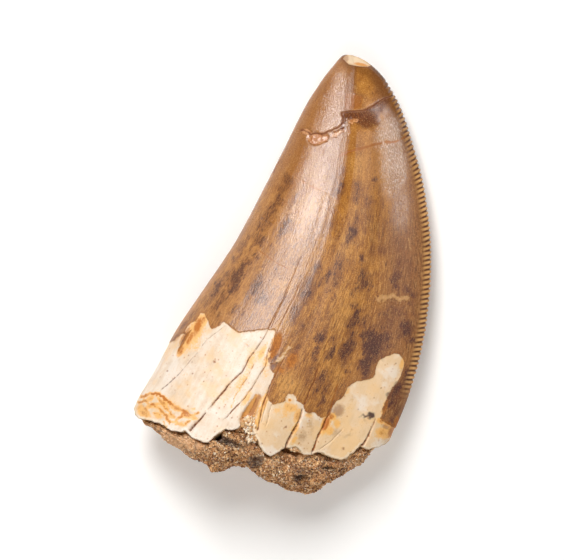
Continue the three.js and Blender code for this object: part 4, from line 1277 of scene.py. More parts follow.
uvs.append(np.stack([np.stack([along[1:], np.full(around, down_run[-1])], 1), np.stack([along[:-1], np.full(around, down_run[-1])], 1),
                     np.stack([np.full(around, along[-1] / 2), np.full(around, down_run[-1] + 1.5)], 1)], 1))
mat_faces, mat_uv = np.concatenate(faces), np.concatenate(uvs)
a, b, c = mat_points[mat_faces[:, 0]], mat_points[mat_faces[:, 1]], mat_points[mat_faces[:, 2]]
if (a * np.cross(b, c)).sum() < 0:
    mat_faces, mat_uv = mat_faces[:, ::-1], mat_uv[:, ::-1]

# refine each triangle once, so that the lumps have points to stand on
def refined(points, faces, uv):
    edges = np.sort(np.concatenate([faces[:, [0, 1]], faces[:, [1, 2]], faces[:, [2, 0]]]), axis=1)
    key, back = np.unique(edges[:, 0].astype(np.int64) * 10000019 + edges[:, 1], return_inverse=True)
    first = np.zeros(len(key), np.int64)
    first[back] = np.arange(len(edges))
    mids = points[edges[first]].mean(1)
    n = len(points)
    m = (back + n).reshape(3, len(faces))
    ab, bc, ca = m[0], m[1], m[2]
    a, b, c = faces.T
    out = np.concatenate([np.stack([a, ab, ca], 1), np.stack([ab, b, bc], 1), np.stack([ca, bc, c], 1), np.stack([ab, bc, ca], 1)])
    ua, ub, uc = uv[:, 0], uv[:, 1], uv[:, 2]
    uab, ubc, uca = (ua + ub) / 2, (ub + uc) / 2, (uc + ua) / 2
    uo = np.concatenate([np.stack([ua, uab, uca], 1), np.stack([uab, ub, ubc], 1), np.stack([uca, ubc, uc], 1), np.stack([uab, ubc, uca], 1)])
    return np.concatenate([points, mids]), out, uo


mat_points, mat_faces, mat_uv = refined(mat_points, mat_faces, mat_uv)
mat_normal = normals_of(mat_points, mat_faces)
# how far below the rim: 0 inside the socket, 1 on the open body
s_here = np.clip(share_of(mat_points[:, 0], mat_points[:, 1]), 0, 1)
rim_here = rim_at(s_here, mat_points[:, 2] > edge_plane(mat_points[:, 1]))
open_body = smooth(0.3, -0.5, mat_points[:, 1] - rim_here)
room = smooth(0.2, 2.0, rim_here - matrix_end(mat_points[:, 0]))


def pebbles(p, size, seed):
    """Rounded grains: how near the middle of the nearest one, 0 to 1."""
    q = p / size
    cell = np.floor(q).astype(np.int64)
    best = np.full(len(p), 9.0)
    for i in (-1, 0, 1):
        for j in (-1, 0, 1):
            for k in (-1, 0, 1):
                at = cell + (i, j, k)
                mid = at + 0.5 + 0.42 * (np.stack([hashed(at[:, 0], at[:, 1], at[:, 2], seed + m) for m in range(3)], 1) * 2 - 1)
                best = np.minimum(best, np.linalg.norm(q - mid, axis=1))
    return np.clip(1 - best / 0.75, 0, 1)


lumps = 0.5 * fbm(mat_points * 0.42 + 2, 301, 3) + 0.28 * fbm(mat_points * 1.3 + 7, 305, 2)
pit_relief_and_shade = smooth(0.25, 0.7, fbm(mat_points * 0.55 + 21, 309, 2))
grit = 0.3 * pebbles(mat_points, 0.95, 311) + 0.2 * pebbles(mat_points, 0.48, 317)
PXM = to_px(mat_points) + 0.5
seen = mat_points[:, 2] > edge_plane(mat_points[:, 1])
pit_and_painted_shade_px = np.zeros(len(mat_points))
# pits: sunk into the matrix's relief, and painted dark as shade
PITS_WITH_SHADE = [(300, 479, 8, 5, 0, 0.6), (330, 470, 8, 4, 0, 0.6), (225, 441, 22, 5, 20, 0.9), (248, 441, 7, 7, 0, 0.5),
        (262, 475, 6, 5, 0, 0.3), (345, 474, 5, 5, 0, 0.4), (275, 486, 9, 4, 0, 0.3)]
pit_and_painted_shade_px[seen] = areas(PXM[seen], PITS_WITH_SHADE)
shift = lumps * room + grit * 0.9 - 0.9 * pit_relief_and_shade * room * 0.5 - 0.9 * pit_and_painted_shade_px - 0.12
mat_points = mat_points + mat_normal * (shift * (0.12 + 0.88 * open_body))[:, None]
mat_points[:, 2] = np.maximum(mat_points[:, 2], 0.02)
low = matrix_end(mat_points[:, 0]) - 0.12
mat_points[:, 1] = np.where(open_body > 0.5, np.maximum(mat_points[:, 1], low), mat_points[:, 1])
mat_uv = (mat_uv - mat_uv.reshape(-1, 2).min(0) + 0.3)
mat_uv = mat_uv / (mat_uv.max() * 1.01)

MATRIX_TONES = [(256, 461, 9, 8, 0, 1.0), (300, 470, 12, 8, 0, 0.5), (315, 476, 10, 6, 0, 0.4), (238, 462, 10, 5, 0, 0.3)]
purple = np.zeros(len(mat_points))
purple[seen] = areas(PXM[seen], MATRIX_TONES)
sandy = np.zeros(len(mat_points))
sandy[seen] = areas(PXM[seen], [(296, 451, 12, 8, 0, 1.0), (352, 463, 14, 6, 0, 0.5), (380, 454, 10, 5, 0, 0.7), (180, 441, 34, 12, 15, 0.9),
                                (240, 480, 14, 6, 0, 0.25), (330, 488, 20, 6, 0, 0.3), (256, 416, 12, 16, 0, 0.8)])
# the third tint is painted shade in the pits
matrix = build("matrix_body", mat_points, mat_faces, mat_uv, {
    "tint_and_pit_shade": np.stack([purple, sandy, pit_and_painted_shade_px + 0.6 * pit_relief_and_shade * (~seen)], 1),
})
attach(matrix, "root")
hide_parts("matrix")
print("matrix", len(mat_points), len(mat_faces))

# ---- loose-looking sand grains, cemented on the matrix ----------------------
mat_normal = normals_of(mat_points, mat_faces)
tri = mat_points[mat_faces]
area = np.linalg.norm(np.cross(tri[:, 1] - tri[:, 0], tri[:, 2] - tri[:, 0]), axis=1) / 2
weight = area * (0.02 + open_body[mat_faces].mean(1)) * np.where(tri[:, :, 2].mean(1) > 5.5, 2.6, 1.0)
r = np.random.default_rng(5)
GRAINS = 21000
pick = r.choice(len(mat_faces), GRAINS, p=weight / weight.sum())
bary = r.dirichlet((1, 1, 1), GRAINS)
spot = (tri[pick] * bary[:, :, None]).sum(1)
face_n = np.cross(tri[pick][:, 1] - tri[pick][:, 0], tri[pick][:, 2] - tri[pick][:, 0])
face_n /= np.maximum(np.linalg.norm(face_n, axis=1, keepdims=True), 1e-9)
size = np.clip(0.085 * np.exp(0.38 * r.standard_normal(GRAINS)), 0.045, 0.21)
phi = (1 + 5 ** 0.5) / 2
ico = np.array([(-1, phi, 0), (1, phi, 0), (-1, -phi, 0), (1, -phi, 0), (0, -1, phi), (0, 1, phi), (0, -1, -phi), (0, 1, -phi),
                (phi, 0, -1), (phi, 0, 1), (-phi, 0, -1), (-phi, 0, 1)]) / math.hypot(1, phi)
ico_faces = np.array([(0, 11, 5), (0, 5, 1), (0, 1, 7), (0, 7, 10), (0, 10, 11), (1, 5, 9), (5, 11, 4), (11, 10, 2), (10, 7, 6),
                      (7, 1, 8), (3, 9, 4), (3, 4, 2), (3, 2, 6), (3, 6, 8), (3, 8, 9), (4, 9, 5), (2, 4, 11), (6, 2, 10),
                      (8, 6, 7), (9, 8, 1)])


def spun(count, rng_):
    q = rng_.standard_normal((count, 4))
    q /= np.linalg.norm(q, axis=1, keepdims=True)
    w, x, y, z = q.T
    return np.stack([np.stack([1 - 2 * (y * y + z * z), 2 * (x * y - z * w), 2 * (x * z + y * w)], 1),
                     np.stack([2 * (x * y + z * w), 1 - 2 * (x * x + z * z), 2 * (y * z - x * w)], 1),
                     np.stack([2 * (x * z - y * w), 2 * (y * z + x * w), 1 - 2 * (x * x + y * y)], 1)], 1)


octa = np.array([(1, 0, 0), (-1, 0, 0), (0, 1, 0), (0, -1, 0), (0, 0, 1), (0, 0, -1)], float)
octa_faces = np.array([(0, 2, 4), (2, 1, 4), (1, 3, 4), (3, 0, 4), (2, 0, 5), (1, 2, 5), (3, 1, 5), (0, 3, 5)])


def lumps_at(spot, lean, size, seed, rough=0.26, flat=0.0, solid=None, solid_faces=None):
    """Small angular bodies, one per spot, as one mesh."""
    rr = np.random.default_rng(seed)
    count = len(spot)
    solid = ico if solid is None else solid
    solid_faces = ico_faces if solid_faces is None else solid_faces
    nv, nf = len(solid), len(solid_faces)
    shape = solid[None] * (1 + rough * rr.uniform(-1, 1, (count, nv, 1)))
    stretch = np.stack([rr.uniform(0.75, 1.3, count), rr.uniform(0.75, 1.3, count), rr.uniform(0.7, 1.1, count) * (1 - flat)], 1)
    shape = shape * stretch[:, None, :]
    turned = np.einsum("nij,nkj->nki", spun(count, rr), shape)
    p = spot[:, None, :] + lean[:, None, :] * (0.25 * size)[:, None, None] + turned * size[:, None, None]
    f = solid_faces[None] + (np.arange(count) * nv)[:, None, None]
    cols = int(math.ceil(math.sqrt(count)))
    cx, cy = np.arange(count) % cols, np.arange(count) // cols
    # every triangle gets its own half of a small square in the grain's cell
    k = np.arange(nf)
    gx, gy, side = (k // 2) % 4, (k // 2) // 4, k % 2
    lower = np.array([(0.06, 0.06), (0.8, 0.06), (0.06, 0.8)])
    upper = np.array([(0.94, 0.94), (0.2, 0.94), (0.94, 0.2)])
    corner = np.where(side[:, None, None] == 0, lower[None], upper[None])
    u = (gx[:, None] + corner[:, :, 0]) / 4.0
    v = (gy[:, None] + corner[:, :, 1]) / 3.0
    uv = np.stack([(cx[:, None, None] + 0.04 + 0.92 * u[None]) / cols, (cy[:, None, None] + 0.04 + 0.92 * v[None]) / cols], -1)
    return p.reshape(-1, 3), f.reshape(-1, 3), uv.reshape(-1, 3, 2), nv


gp, gf, guv, nv = lumps_at(spot, face_n, size, 8, rough=0.3, solid=octa, solid_faces=octa_faces)
gp[:, 2] = np.maximum(gp[:, 2], 0.0)
tone = r.random(GRAINS)
glint = r.random(GRAINS)
# dark grains: the purple tone, and painted shade in the pits; sandy places lighten them
dark_tone_and_pit_shade = (purple + 1.2 * pit_and_painted_shade_px - 0.9 * sandy)[mat_faces[pick][:, 0]]
grains = build("matrix_grains", gp, gf, guv, {
    "grain": np.repeat(np.stack([tone, glint, dark_tone_and_pit_shade], 1), nv, axis=0),
}, smooth_shading=False)
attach(grains, "root")
print("grains", len(gp), len(gf))

# ---- crumbs of dentine lodged in the notch and along the broken rim ---------
CRUMBS = [(248, 420, 6, 3.4, 26, 0.26), (246, 427, 4.5, 4.5, 26, 0.22), (252.5, 427, 4, 7, 30, 0.24),
          (256, 437, 3.4, 6, 22, 0.22), (249.5, 436, 5, 7, 26, 0.18), (255.5, 417, 2.6, 6, 12, 0.14),
          (293, 449, 6, 2.4, 16, 0.17), (296, 445, 4, 2, 8, 0.15)]
cx, cy, cs = [], [], []
for x, y, a, b, count, big in CRUMBS:
    rad, ang = np.sqrt(r.random(count)), r.random(count) * 2 * math.pi
    cx.append(x + a * rad * np.cos(ang))
    cy.append(y + b * rad * np.sin(ang))
    cs.append(np.clip(big * np.exp(0.4 * r.standard_normal(count)), 0.08, 0.42))
cx, cy, cs = np.concatenate(cx), np.concatenate(cy), np.concatenate(cs)
bx, by, bs = place(cx, cy)
spot = crown(bs, by, True)
spot[:, 2] -= 0.12 + 0.38 * r.random(len(cs)) + 0.5 * cs
lean = np.zeros((len(cs), 3))
cp, cf, cuv, nv = lumps_at(spot, lean, cs, 9, rough=0.3, flat=0.35)
crumbs = build("dentine_crumbs", cp, cf, cuv, {
    "grain": np.repeat(np.stack([r.random(len(cs)), r.random(len(cs)), np.zeros(len(cs))], 1), nv, axis=0),
}, smooth_shading=False)
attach(crumbs, "root")

# ---------------------------------------------------------------------------
# materials
# ---------------------------------------------------------------------------


def rgb(r, g, b):
    return tuple((v / 255.0 / 12.92 if v <= 10 else ((v / 255.0 + 0.055) / 1.055) ** 2.4) for v in (r, g, b)) + (1.0,)


class Nodes:
    """Short names for building a node tree."""

    def __init__(self, name):
        self.mat = bpy.data.materials.new(name)
        self.mat.use_nodes = True
        self.tree = self.mat.node_tree
        self.tree.nodes.clear()
        self.out = self.tree.nodes.new("ShaderNodeOutputMaterial")
        self.shader = self.tree.nodes.new("ShaderNodeBsdfPrincipled")
        self.link(self.shader.outputs[0], self.out.inputs["Surface"])

    def link(self, a, b):
        self.tree.links.new(a, b)

    def put(self, value, socket):
        if isinstance(value, bpy.types.NodeSocket):
            self.link(value, socket)
        elif isinstance(value, tuple) and len(value) == 4 and socket.type == "VECTOR":
            socket.default_value = value[:3]
        else:
            socket.default_value = value

    def math(self, op, a, b=0.0, c=0.0, clamp=False):
        n = self.tree.nodes.new("ShaderNodeMath")
        n.operation = op
        n.use_clamp = clamp
        self.put(a, n.inputs[0])
        self.put(b, n.inputs[1])
        self.put(c, n.inputs[2])
        return n.outputs[0]

    def add(self, a, b):
        return self.math("ADD", a, b)

    def sub(self, a, b):
        return self.math("SUBTRACT", a, b)

    def mul(self, a, b):
        return self.math("MULTIPLY", a, b)

    def madd(self, a, b, c):
        return self.math("MULTIPLY_ADD", a, b, c)

    def top(self, a, b):
        return self.math("MAXIMUM", a, b)

    def step(self, v, lo, hi, to_lo=0.0, to_hi=1.0):
        n = self.tree.nodes.new("ShaderNodeMapRange")
        n.interpolation_type = "SMOOTHSTEP"
        self.put(v, n.inputs["Value"])
        n.inputs["From Min"].default_value = lo
        n.inputs["From Max"].default_value = hi
        n.inputs["To Min"].default_value = to_lo
        n.inputs["To Max"].default_value = to_hi
        return n.outputs["Result"]

    def mix(self, fac, a, b, blend="MIX"):
        n = self.tree.nodes.new("ShaderNodeMix")
        n.data_type = "RGBA"
        n.blend_type = blend
        n.clamp_factor = True
        self.put(fac, n.inputs[0])
        self.put(a, n.inputs[6])
        self.put(b, n.inputs[7])
        return n.outputs[2]

    def blend(self, fac, a, b):
        n = self.tree.nodes.new("ShaderNodeMix")
        n.data_type = "FLOAT"
        n.clamp_factor = True
        self.put(fac, n.inputs[0])
        self.put(a, n.inputs[2])
        self.put(b, n.inputs[3])
        return n.outputs[0]

    def attr(self, name):
        n = self.tree.nodes.new("ShaderNodeAttribute")
        n.attribute_type = "GEOMETRY"
        n.attribute_name = name
        return n

    def split(self, name):
        n = self.tree.nodes.new("ShaderNodeSeparateXYZ")
        self.link(self.attr(name).outputs["Vector"], n.inputs[0])
        return n.outputs[0], n.outputs[1], n.outputs[2]

    def scaled(self, vector, scale, shift=(0, 0, 0)):
        n = self.tree.nodes.new("ShaderNodeMapping")
        self.put(vector, n.inputs["Vector"])
        n.inputs["Scale"].default_value = scale
        n.inputs["Location"].default_value = shift
        return n.outputs[0]

    def noise(self, vector, scale=1.0, detail=2.0, rough=0.5, distortion=0.0):
        n = self.tree.nodes.new("ShaderNodeTexNoise")
        self.put(vector, n.inputs["Vector"])
        n.inputs["Scale"].default_value = scale
        n.inputs["Detail"].default_value = detail
        n.inputs["Roughness"].default_value = rough
        n.inputs["Distortion"].default_value = distortion
        return n.outputs["Fac"]

    def noise_vec(self, vector, scale=1.0):
        n = self.tree.nodes.new("ShaderNodeTexNoise")
        self.put(vector, n.inputs["Vector"])
        n.inputs["Scale"].default_value = scale
        n.inputs["Detail"].default_value = 2.0
        return n.outputs["Color"]

    def add_vec(self, a, b, amount):
        n = self.tree.nodes.new("ShaderNodeVectorMath")
        n.operation = "MULTIPLY_ADD"
        self.put(b, n.inputs[0])
        n.inputs[1].default_value = (amount, amount, amount)
        self.put(a, n.inputs[2])
        return n.outputs[0]

    def cells(self, vector, scale=1.0, feature="F1", out="Distance"):
        n = self.tree.nodes.new("ShaderNodeTexVoronoi")
        n.feature = feature
        self.put(vector, n.inputs["Vector"])
        n.inputs["Scale"].default_value = scale
        return n.outputs[out]

    def ramp(self, fac, stops):
        n = self.tree.nodes.new("ShaderNodeValToRGB")
        e = n.color_ramp.elements
        e[0].position, e[0].color = stops[0][0], stops[0][1]
        e[1].position, e[1].color = stops[-1][0], stops[-1][1]
        for at, col in stops[1:-1]:
            m = e.new(at)
            m.color = col
        self.put(fac, n.inputs[0])
        return n.outputs[0]

    def bump(self, height, strength, distance, normal=None):
        n = self.tree.nodes.new("ShaderNodeBump")
        n.inputs["Strength"].default_value = strength
        n.inputs["Distance"].default_value = distance
        self.put(height, n.inputs["Height"])
        if normal is not None:
            self.link(normal, n.inputs["Normal"])
        return n.outputs[0]


def tooth_material():
    t = Nodes("fossil_enamel_and_dentine")
    grow = t.attr("grow").outputs["Vector"]
    coord = t.tree.nodes.new("ShaderNodeTexCoord").outputs["Object"]
    pos = t.scaled(coord, (1000, 1000, 1000))
    bare, tip, side = t.split("bare")
    mottle, rust, brown = t.split("stain")
    yellow, grey, speck = t.split("tone")
    dark, ochre, pale = t.split("line")
    arc, edge, serr = t.split("serration")
    chip, scarp, rubble = t.split("worn")
    polish = t.attr("polish").outputs["Fac"]
    polish_and_painted_sheen = t.attr("polish_and_painted_sheen").outputs["Fac"]
    broken = t.attr("broken").outputs["Fac"]

    # noises, in millimetres; the growth coordinates run along the crown
    streak = t.noise(t.scaled(grow, (1.6, 0.2, 1)), 1, 3, 0.6, 0.3)
    fine = t.noise(t.scaled(grow, (4.4, 0.8, 1)), 1, 3, 0.65, 0.2)
    hair = t.noise(t.scaled(grow, (9.5, 0.7, 1)), 1, 2, 0.55)
    broad = t.noise(t.scaled(grow, (0.33, 0.13, 1), (4, 2, 0)), 1, 3, 0.55)
    grain = t.noise(pos, 4.4, 2, 0.65)
    tiny = t.noise(pos, 8.5, 1, 0.5)
    cloud = t.noise(pos, 0.75, 3, 0.6)
    gx = t.tree.nodes.new("ShaderNodeSeparateXYZ")
    t.link(grow, gx.inputs[0])

    # the same noises stretched to their full range
    G, F, T = t.step(grain, 0.35, 0.65), t.step(fine, 0.33, 0.67), t.step(tiny, 0.36, 0.64)
    dash = t.noise(t.scaled(grow, (7.6, 2.0, 1), (3, 1, 0)), 1, 2, 0.55)
    D = t.step(dash, 0.36, 0.64)
    near_tip = t.step(gx.outputs[1], 35.5, 39.0)
    lined = t.math("SUBTRACT", 1.0, t.mul(t.step(gx.outputs[1], 22.0, 37.5), 0.8))
    F = t.madd(t.sub(F, 0.5), lined, 0.5)

    # ---- enamel ---------------------------------------------------------
    base_tone = t.madd(t.mul(t.sub(broad, 0.5), t.madd(lined, 0.8, 0.2)), 1.0, t.madd(t.mul(t.sub(streak, 0.5), lined), 0.75, 0.47))
    base_tone = t.madd(t.sub(F, 0.5), 0.26, t.madd(t.sub(G, 0.5), 0.14, base_tone))
    base_tone = t.madd(t.sub(T, 0.5), 0.1, t.madd(t.mul(t.sub(D, 0.5), lined), 0.24, base_tone))
    base_tone = t.madd(t.sub(cloud, 0.5), t.madd(near_tip, 0.7, 0.35), base_tone)
    enamel = t.ramp(base_tone, [(0.0, rgb(98, 56, 22)), (0.25, rgb(142, 88, 36)), (0.5, rgb(174, 115, 48)),
                                (0.75, rgb(198, 139, 64)), (1.0, rgb(220, 168, 94))])
    warm = t.step(t.madd(t.mul(t.sub(streak, 0.5), lined), 0.7, t.madd(t.sub(F, 0.5), 0.2, yellow)), 0.1, 0.8, 0, 0.75)
    enamel = t.mix(warm, enamel, t.mix(t.madd(t.sub(G, 0.5), 0.5, F), rgb(170, 114, 48), rgb(222, 166, 88)))
    # the two flanks are duller and redder than the middle
    left = t.step(gx.outputs[0], -4.5, -10.5)
    high = t.mul(t.step(gx.outputs[0], -0.4, -3.0), t.step(gx.outputs[1], 27.0, 33.0))
    enamel = t.mix(t.mul(high, 0.56), enamel, rgb(132, 76, 32))
    low = t.mul(t.step(gx.outputs[0], -6.0, -10.0), t.step(gx.outputs[1], 30.0, 24.0))
    enamel = t.mix(t.mul(low, 0.4), enamel, rgb(206, 150, 92))
    right = t.step(gx.outputs[0], 5.5, 9.5)
    enamel = t.mix(t.mul(left, 0.4), enamel, t.mix(t.madd(t.sub(G, 0.5), 0.5, F), rgb(156, 98, 48), rgb(204, 144, 82)))
    enamel = t.mix(t.mul(right, 0.8), enamel, t.mix(t.madd(t.sub(G, 0.5), 0.5, F), rgb(112, 66, 32), rgb(152, 98, 52)))
    brown_mask = t.step(t.madd(t.sub(G, 0.5), 0.3, t.madd(t.sub(F, 0.5), 0.25, brown)), 0.08, 0.7)
    enamel = t.mix(t.mul(brown_mask, 0.92), enamel, t.mix(t.madd(t.sub(T, 0.5), 0.4, G), rgb(84, 38, 14), rgb(122, 64, 28)))
    spall = t.attr("spall").outputs["Fac"]
    enamel = t.mix(t.mul(spall, 0.75), enamel, rgb(162, 94, 34))
    # fine lengthwise lines, dark and pale
    enamel = t.mix(t.mul(t.mul(t.step(fine, 0.43, 0.3), lined), 0.45), enamel, rgb(104, 60, 28))
    enamel = t.mix(t.mul(t.mul(t.step(hair, 0.56, 0.68), lined), 0.4), enamel, rgb(224, 176, 112))
    enamel = t.mix(t.mul(t.mul(t.step(hair, 0.44, 0.32), lined), 0.5), enamel, rgb(92, 52, 26))
    # purple-brown mottles with ragged, streaky edges
    torn = t.madd(t.sub(F, 0.5), 0.66, t.madd(t.sub(G, 0.5), 0.26, t.mul(t.sub(D, 0.5), 0.5)))
    ragged = t.madd(torn, t.step(mottle, 0.0, 0.3, 0.2, 1.0), mottle)
    halo = t.step(ragged, 0.1, 0.46)
    core = t.step(ragged, 0.42, 0.86)
    enamel = t.mix(t.mul(halo, 0.62), enamel, rgb(108, 58, 36))
    enamel = t.mix(t.mul(core, 0.9), enamel, t.mix(T, rgb(54, 18, 14), rgb(84, 38, 28)))
    # faint stray mottles and flecks between them
    stray = t.step(t.madd(t.sub(G, 0.5), 0.06, t.noise(t.scaled(grow, (0.95, 0.33, 1), (6, 1, 0)), 1, 3, 0.62)), 0.57, 0.68)
    stray = t.mul(stray, t.mul(t.step(gx.outputs[1], 33.0, 27.0), t.step(gx.outputs[0], 9.0, 5.0, 0.35, 1.0)))
    enamel = t.mix(t.mul(stray, 0.42), enamel, rgb(112, 64, 40))
    fleck = t.cells(t.scaled(grow, (1.3, 0.6, 1), (3, 7, 0)), 1)
    enamel = t.mix(t.mul(t.step(t.madd(t.sub(grain, 0.5), 0.8, fleck), 0.24, 0.04), 0.4), enamel, rgb(84, 50, 38))
    enamel = t.mix(t.mul(t.step(tiny, 0.6, 0.68), 0.28), enamel, rgb(228, 184, 126))
    enamel = t.mix(t.mul(t.step(tiny, 0.4, 0.32), 0.16), enamel, rgb(82, 46, 22))
    # the enamel thins and darkens to rust along its edge
    lip = t.step(t.madd(t.sub(grain, 0.5), 0.3, bare), -0.5, -0.02)
    enamel = t.mix(t.mul(lip, 0.28), enamel, rgb(150, 92, 42))
    rusty = t.step(t.madd(t.sub(F, 0.5), 0.3, t.madd(t.sub(grain, 0.5), 0.5, rust)), 0.15, 0.8)
    enamel = t.mix(t.mul(rusty, 0.8), enamel, t.mix(G, rgb(160, 90, 18), rgb(200, 124, 36)))
    chipped = t.step(chip, 0.3, 0.55)
    facets = t.noise(pos, 3.4, 2, 0.5)
    chip_tone = t.mix(t.step(facets, 0.4, 0.6), rgb(178, 108, 56), rgb(232, 176, 130))
    chip_tone = t.mix(t.step(chip, 0.7, 1.0, 0.0, 0.55), chip_tone, rgb(190, 112, 58))
    enamel = t.mix(t.mul(chipped, 0.72), enamel, chip_tone)
    chip_edge = t.mul(t.step(chip, 0.04, 0.3), t.step(chip, 0.62, 0.4))
    enamel = t.mix(t.mul(chip_edge, 0.3), enamel, rgb(110, 56, 24))

    # ---- serrated edge ---------------------------------------------------
    phase = t.math("MULTIPLY_ADD", edge, -LEAN, arc)
    phase = t.math("DIVIDE", phase, 0.588)
    wob = t.mul(t.sub(t.noise(t.scaled(pos, (0.5, 0.5, 0.5)), 1, 1, 0.5), 0.5), 0.3)
    phase = t.add(phase, wob)
    off = t.math("ABSOLUTE", t.sub(t.math("FRACT", t.add(phase, 0.5)), 0.5))
    in_bar = t.madd(t.sub(grain, 0.5), 0.8, t.math("DIVIDE", edge, t.step(arc, 6.0, 15.0, 0.58, 1.0)))
    fade = t.mul(t.mul(serr, t.step(arc, 5.0, 9.0)), t.step(in_bar, 1.35, 0.5))
    gap_dark = t.mul(t.step(off, 0.24, 0.06), fade)
    bar_tan_and_highlight = t.mul(t.mul(t.step(off, 0.14, 0.36), t.step(in_bar, 1.3, 0.5)), t.mul(serr, t.step(arc, 5.0, 9.0)))
    # painted shade: darker along the serrated edge, within about 2 mm of it and up to 12 to 17 mm from the tip
    enamel = t.mix(t.mul(t.mul(t.step(edge, 2.1, 1.1), t.step(arc, 17.0, 12.0)), 0.6), enamel, rgb(112, 66, 26))
    # the denticles' bars: a paler tan with a painted highlight, weaker towards the tip as painted shade
    enamel = t.mix(t.mul(bar_tan_and_highlight, t.step(gx.outputs[1], 36.5, 31.5, 0.42, 0.88)), enamel, t.mix(G, rgb(222, 162, 90), rgb(242, 194, 124)))
    enamel = t.mix(t.mul(gap_dark, 0.84), enamel, rgb(90, 46, 10))

    enamel = t.mix(t.mul(t.mul(t.step(edge, 0.5, 0.1), t.step(arc, 6.0, 4.6)), 0.55), enamel, rgb(84, 48, 22))

    painted_sparkle = t.noise(t.scaled(grow, (6.0, 2.6, 1), (2, 8, 0)), 1, 2, 0.6)
    enamel = t.scaled(enamel, (0.99, 0.935, 0.77))
    enamel = t.mix(t.mul(t.step(polish, 0.4, 1.0), 0.2), enamel, rgb(132, 90, 54))
    # painted highlight: pale flecks of sheen painted into the enamel over the sheen zone, strongest towards the tip
    painted_sheen_top = t.step(gx.outputs[1], 28.5, 36.0, 0.25, 1.0)
    enamel = t.mix(t.mul(t.mul(polish_and_painted_sheen, painted_sheen_top), t.madd(t.step(painted_sparkle, 0.5, 0.62), 0.5, 0.12)), enamel, rgb(244, 222, 200))

    # ---- dentine ---------------------------------------------------------
    d_tone = t.madd(t.sub(cloud, 0.5), 1.2, t.madd(t.sub(streak, 0.5), 0.9, 0.52))
    dentine = t.ramp(d_tone, [(0.0, rgb(206, 176, 146)), (0.3, rgb(225, 201, 175)), (0.6, rgb(235, 215, 194)),
                              (1.0, rgb(241, 228, 213))])
    right_d = t.step(gx.outputs[0], -2.5, 1.0)
    dentine = t.mix(t.mul(right_d, 0.58), dentine, rgb(232, 190, 130))
    dentine = t.mix(t.mul(t.step(hair, 0.44, 0.28), 0.22), dentine, rgb(206, 168, 122))
    dentine = t.mix(t.mul(t.step(fine, 0.42, 0.28), 0.2), dentine, rgb(214, 178, 132))
    blush = t.noise(pos, 0.34, 3, 0.6)
    dentine = t.mix(t.step(blush, 0.5, 0.66, 0, 0.5), dentine, rgb(238, 194, 132))
    dentine = t.mix(t.step(blush, 0.48, 0.34, 0, 0.55), dentine, rgb(242, 232, 222))
    veil = t.step(t.madd(t.sub(grain, 0.5), 0.6, t.madd(t.sub(cloud, 0.5), 1.4, grey)), 0.2, 1.0)
    dentine = t.mix(t.mul(veil, 0.8), dentine, rgb(168, 124, 84))
    o1 = t.madd(t.sub(cloud, 0.5), 0.7, t.madd(t.sub(grain, 0.5), 0.6, rust))
    dentine = t.mix(t.mul(t.step(o1, 0.05, 0.5), 0.8), dentine, rgb(243, 180, 82))
    dentine = t.mix(t.mul(t.step(o1, 0.5, 1.0), 0.95), dentine, rgb(190, 104, 8))
    dentine = t.mix(t.mul(t.step(t.madd(t.sub(grain, 0.5), 0.3, mottle), 0.25, 0.85), 0.95), dentine, rgb(62, 32, 28))
    dentine = t.mix(t.mul(t.step(t.madd(t.sub(grain, 0.5), 0.5, brown), 0.25, 0.9), 0.75), dentine, rgb(180, 108, 40))
    # tiny rust points
    points = t.cells(pos, 1.35)
    size = t.noise(pos, 0.6, 1, 0.5)
    dentine = t.mix(t.mul(t.step(points, 0.2, 0.09), t.step(size, 0.38, 0.56, 0, 0.55)), dentine, rgb(186, 112, 50))
    points2 = t.cells(t.scaled(pos, (1, 1, 1), (5, 3, 9)), 2.7)
    dentine = t.mix(t.mul(t.step(points2, 0.2, 0.06), t.step(size, 0.64, 0.44, 0, 0.5)), dentine, rgb(196, 134, 74))
    dentine = t.mix(t.mul(speck, 0.85), dentine, rgb(150, 80, 28))
    valley, valley_side, rim_far = t.split("hollow")
    across = t.madd(t.sub(G, 0.5), 0.25, t.madd(t.sub(cloud, 0.5), 0.9, valley_side))
    hollow_tone = t.mix(t.step(across, -0.4, 0.1), rgb(214, 146, 54), rgb(176, 108, 30))
    hollow_tone = t.mix(t.step(across, 0.3, 0.9), hollow_tone, rgb(220, 168, 90))
    dentine = t.mix(t.mul(t.step(t.madd(t.sub(G, 0.5), 0.4, valley), 0.12, 0.85), 0.92), dentine, hollow_tone)
    # painted highlight: a pale band just inside the broken rim; the next line darkens the rim's last 0.14 mm to
    # grey-brown
    rim_painted_highlight = t.mul(t.step(t.madd(t.sub(G, 0.5), 0.2, rim_far), 0.42, 0.2), t.step(rim_far, 0.04, 0.14))
    dentine = t.mix(t.mul(rim_painted_highlight, 0.35), dentine, rgb(248, 240, 226))
    dentine = t.mix(t.mul(t.step(t.madd(t.sub(G, 0.5), 0.1, rim_far), 0.14, 0.02), 0.5), dentine, rgb(150, 122, 96))
    rim = t.step(t.madd(t.sub(grain, 0.5), 0.12, bare), 0.16, 0.0)
    dentine = t.mix(t.mul(rim, 0.28), dentine, rgb(214, 170, 112))
    dentine = t.mix(t.mul(t.step(t.madd(t.sub(cloud, 0.5), 0.8, rubble), 0.55, 1.1), 0.25), dentine, rgb(236, 178, 104))

